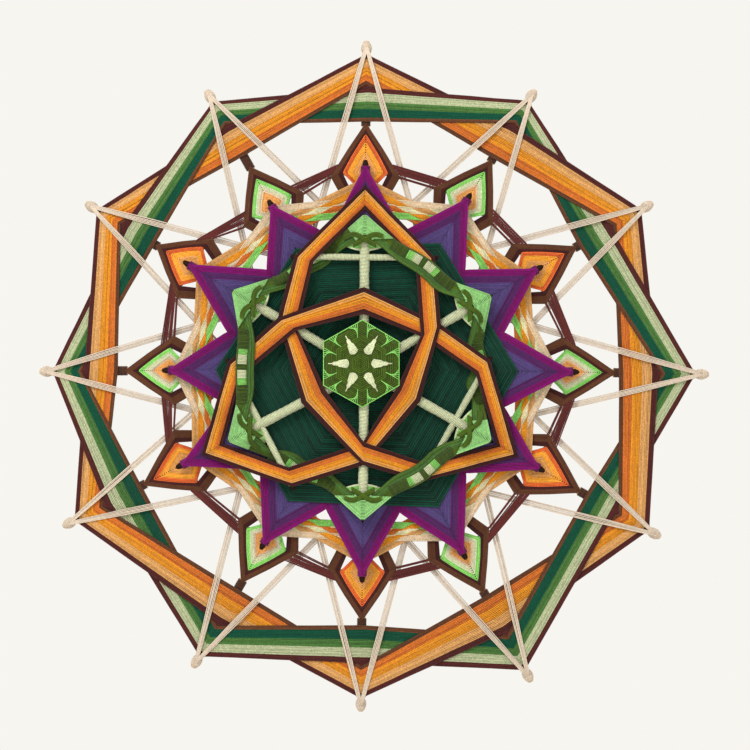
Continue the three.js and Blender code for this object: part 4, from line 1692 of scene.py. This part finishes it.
@dataclass
class CentreEye:
    """The domed olive hexagon with cream leaves and a bright edge."""

    radius: float = 34.0
    rim: float = 2.0
    rise: float = 4.2
    dome: float = 2.2
    middle: Pair = (-2.0, 4.2)
    skew: float = 1.8
    count: int = 21
    thread: float = 0.8
    depth_jitter: float = 0.12
    sag: float = 0.5
    ridge: float = 0.9
    edge_first: float = 0.5
    edge_pitch: float = 0.65
    # Dye, distance out and thickness of the rings that close the edge
    edges: tuple[tuple[Dye, float, float], ...] = ((Dye.OLIVE, 0.0, 0.6),) * 3 + ((Dye.BRIGHT, 0.4, 0.4),)
    # Each leaf is blunt inside and ragged outside
    leaf_side: int = 4
    leaf_pitch: float = 0.8
    leaf_narrows: float = 0.35
    leaf_in: Pair = (8.8, 0.1)
    leaf_out: tuple[float, float, float] = (25.2, 2.0, 1.3)
    leaf_rise: float = 0.85
    leaf_thread: float = 0.5
    # Each fan of stitches starts along the edge and ends under the point
    fan_threads: int = 5
    fan_edge: Pair = (4.6, 1.9)
    fan_end: float = 4.4
    fan_in: Pair = (11.5, 1.7)
    fan_rise: float = 0.95
    fan_thread: float = 0.34

    def level(self, share: float) -> float:
        """Returns the depth of the dome's yarn at a share of its radius."""
        return D.on_cross + self.rim + self.rise * (1 - min(share, 1.0) ** self.dome) - S.yarn / 2

    def spot(self, hour: float, radius: float, offset: float = 0.0) -> Point:
        """Finds a point of the eye about its own middle.

        Args:
            hour: clock direction.
            radius: distance from the middle.
            offset: distance across, clockwise above zero.

        Returns:
            The point as x and z.
        """
        point = beside(hour, radius, offset)
        skew = np.array([self.skew * (abs(point[1]) / self.radius - 0.5), 0.0])
        return point + np.array(self.middle) + skew

    def on_dome(self, point: Point, more: float) -> Point:
        """Sets a point of the eye on the dome.

        Args:
            point: the point as x and z.
            more: how far it is raised.

        Returns:
            The point in space.
        """
        away = point - np.array(self.middle)
        angle = math.degrees(math.atan2(away[0], away[1])) % 60 - 30
        flank = float(np.linalg.norm(away)) * math.cos(math.radians(angle))
        return place(point, self.level(flank / (self.radius * math.cos(math.pi / 6))) + more)

    def course(self, share: float, skein: Skein) -> Path:
        """Follows one course round the dome.

        Args:
            share: size of the course as a share of the eye's.
            skein: piece whose random numbers it takes.

        Returns:
            The closed path.
        """
        path = []
        drift = skein.rng.normal(0, self.depth_jitter)
        for hour in range(0, 12, 2):
            here, then = self.spot(hour, self.radius * share), self.spot(hour + 2, self.radius * share)
            for part in (0.0, 0.1, 0.3, 0.5, 0.7, 0.9):
                ridge = self.ridge if hour % 6 == 0 and part == 0.0 else 0.0
                dip = self.sag * math.sin(math.pi * part) - ridge
                path.append(place(between(here, then, part), self.level(share) - dip + drift))
        return path

    def build(self) -> None:
        """Makes the dome from hexagon courses, then its edge and its marks."""
        skein = Skein("centre_eye_yarn")
        for i in range(self.count):
            path = self.course((i + 0.6) / self.count, skein)
            skein.lay(path, Dye.OLIVE.value, S.yarn * self.thread, True)
        for i, (dye, out, thick) in enumerate(self.edges):
            level = D.on_cross + self.edge_first + i * self.edge_pitch
            path = [place(self.spot(hour, self.radius + out), level) for hour in range(0, 12, 2)]
            skein.lay(path, dye.value, S.yarn * thick, True)
        self.leaves(skein)
        self.fans(skein)
        skein.make("centre_eye")

    def leaves(self, skein: Skein) -> None:
        """Lays the six cream leaves between the spokes.

        Args:
            skein: piece that takes the threads.
        """
        reach, loss, ragged = self.leaf_out
        for hour in range(1, 12, 2):
            for k in range(-self.leaf_side, self.leaf_side + 1):
                start = self.leaf_in[0] + self.leaf_in[1] * k * k
                end = reach - abs(k) * loss - (ragged if k % 2 else 0.0)
                path = []
                for part in (0.0, 0.5, 1.0):
                    offset = k * self.leaf_pitch * (1 - self.leaf_narrows * part)
                    point = self.spot(hour, start + (end - start) * part, offset)
                    path.append(self.on_dome(point, self.leaf_rise))
                skein.lay(path, Dye.CREAM.value, S.yarn * self.leaf_thread)

    def fans(self, skein: Skein) -> None:
        """Lays the bright green stitches that run inwards from the edge beside each point.

        Args:
            skein: piece that takes the threads.
        """
        for hour in range(0, 12, 2):
            along = outward(hour, self.radius)
            corner = self.spot(hour, self.radius)
            for way in (-1, 1):
                edge = self.spot(hour + 2 * way, self.radius) - corner
                edge /= np.linalg.norm(edge)
                for k in range(self.fan_threads):
                    start = corner + edge * (self.fan_edge[0] + self.fan_edge[1] * k)
                    end = corner + edge * self.fan_end - along * (self.fan_in[0] - self.fan_in[1] * k)
                    line = [between(start, end, part) for part in (0.0, 0.5, 1.0)]
                    path = [self.on_dome(point, self.fan_rise) for point in line]
                    skein.lay(path, Dye.BRIGHT.value, S.yarn * self.fan_thread)


@dataclass
class Studio:
    """Pale floor, soft light and the camera of the photograph, in metres."""

    distance: float = 2.0
    width: float = 0.6
    aim: Pair = (0.0088, -0.0048)
    plane: float = 0.0105
    sensor: float = 36.0
    far: float = 50.0
    ground: str = "#f7f5f0"
    floor_size: float = 2.4
    floor_level: float = -0.8

    def build(self) -> None:
        """Sets the camera, the world, the lights and the floor."""
        self._camera()
        self._world()
        self._light("key", (-0.9, -1.5, 1.4), 0.8, 30.0)
        self._light("fill", (1.3, -1.5, 0.2), 1.4, 4.0)
        self._light("rear", (0.6, 1.6, 0.9), 1.4, 9.0)
        self._floor()

    def _camera(self) -> None:
        """Sets a long lens straight in front of the piece."""
        camera = bpy.data.cameras.new("camera")
        camera.sensor_width = self.sensor
        camera.lens = self.sensor * self.distance / self.width
        camera.clip_end = self.far
        eye = bpy.data.objects.new("camera", camera)
        eye.location = (self.aim[0], -self.plane - self.distance, self.aim[1])
        eye.rotation_euler = (math.radians(90), 0.0, 0.0)
        scene = bpy.context.scene
        scene.collection.objects.link(eye)
        scene.camera = eye
        scene.view_settings.view_transform = "Standard"

    def _world(self) -> None:
        """Gives the world the pale ground of the photograph."""
        world = bpy.data.worlds.new("studio")
        world.use_nodes = True
        tree = world.node_tree
        tree.nodes.clear()
        ground = add_node(tree, "Background", {"Color": linear(self.ground), "Strength": 1.0})
        add_node(tree, "OutputWorld", {"Surface": (ground, 0)})
        bpy.context.scene.world = world

    def _light(self, name: str, spot: tuple[float, float, float], size: float, power: float) -> None:
        """Adds a soft square light that faces the middle of the piece.

        Args:
            name: name of the light.
            spot: its place.
            size: length of its sides.
            power: its power in watts.
        """
        data = bpy.data.lights.new(name, "AREA")
        data.energy = power
        data.size = size
        lamp = bpy.data.objects.new(name, data)
        lamp.location = spot
        yaw = math.atan2(spot[1], spot[0]) + math.pi / 2
        lamp.rotation_euler = (math.atan2(math.hypot(spot[0], spot[1]), spot[2]), 0.0, yaw)
        bpy.context.scene.collection.objects.link(lamp)

    def _floor(self) -> None:
        """Adds a pale floor well below the piece."""
        bpy.ops.object.select_all(action="DESELECT")
        bpy.ops.mesh.primitive_plane_add(size=self.floor_size, location=(0.0, 0.0, self.floor_level))
        floor = bpy.context.active_object
        floor.name = "floor"
        bpy.ops.object.transform_apply(location=True, rotation=True, scale=True)
        floor.data.materials.append(MATT_PAPER.material())


def main() -> None:
    """Builds every sub-assembly in order."""
    logging.basicConfig(level=logging.INFO, format="%(message)s")
    Studio().build()
    ends = [r - S.ball_cover for r in S.reach]
    StickCross("frame_stick", D.frame_levels, D.frame_tip, S.frame_r, ends, BIRCH, "frame_wood").build()
    ends = [r + S.star_past for r in S.star_at]
    StickCross(
        "star_stick", D.star_levels, D.star_level, S.star_r, ends, STAINED, "star_wood", taper=0.6
    ).build()
    warm = ((Dye.PEACH, 7), (Dye.ORANGE, 7), (Dye.RUST, 6))
    green = ((Dye.PALE_GREEN, 7), (Dye.MID_GREEN, 6), (Dye.TEAL_GREEN, 7))
    for side, key, band in ((Side.EVEN, "warm", warm), (Side.ODD, "green", green)):
        courses = shades((Dye.MAROON, 4), *band, (Dye.BROWN, 3))
        OuterHexagon(side, f"outer_hexagon_{key}", courses, f"yarn_{key}").build()
    for side in Side:
        CreamRun(side).build()
    for hour in range(12):
        Petal(hour).build()
    PetalBorder().build()
    Braid(Side.EVEN, [(Dye.PEACH, 5), (Dye.ORANGE, 5), (Dye.RUST, 5)], "braid_warm").build()
    Braid(Side.ODD, [(Dye.BLUSH, 5), (Dye.STRAW, 5), (Dye.BRIGHT, 5)], "braid_green").build()
    StarWinding("star_purple", Dye.PURPLE.value, "yarn_purple", outer=81.0, inner=75.3).build()
    StarWinding("star_indigo", Dye.INDIGO.value, "yarn_indigo", outer=75.4, inner=69.5).build()
    StarWinding("star_blue", Dye.VIOLET.value, "yarn_blue", outer=69.7, inner=60.0).build()
    GreenField().build()
    WrappedCross().build()
    Knot().build()
    CordHexagon().build()
    CentreEye().build()


if __name__ == "__main__":
    main()
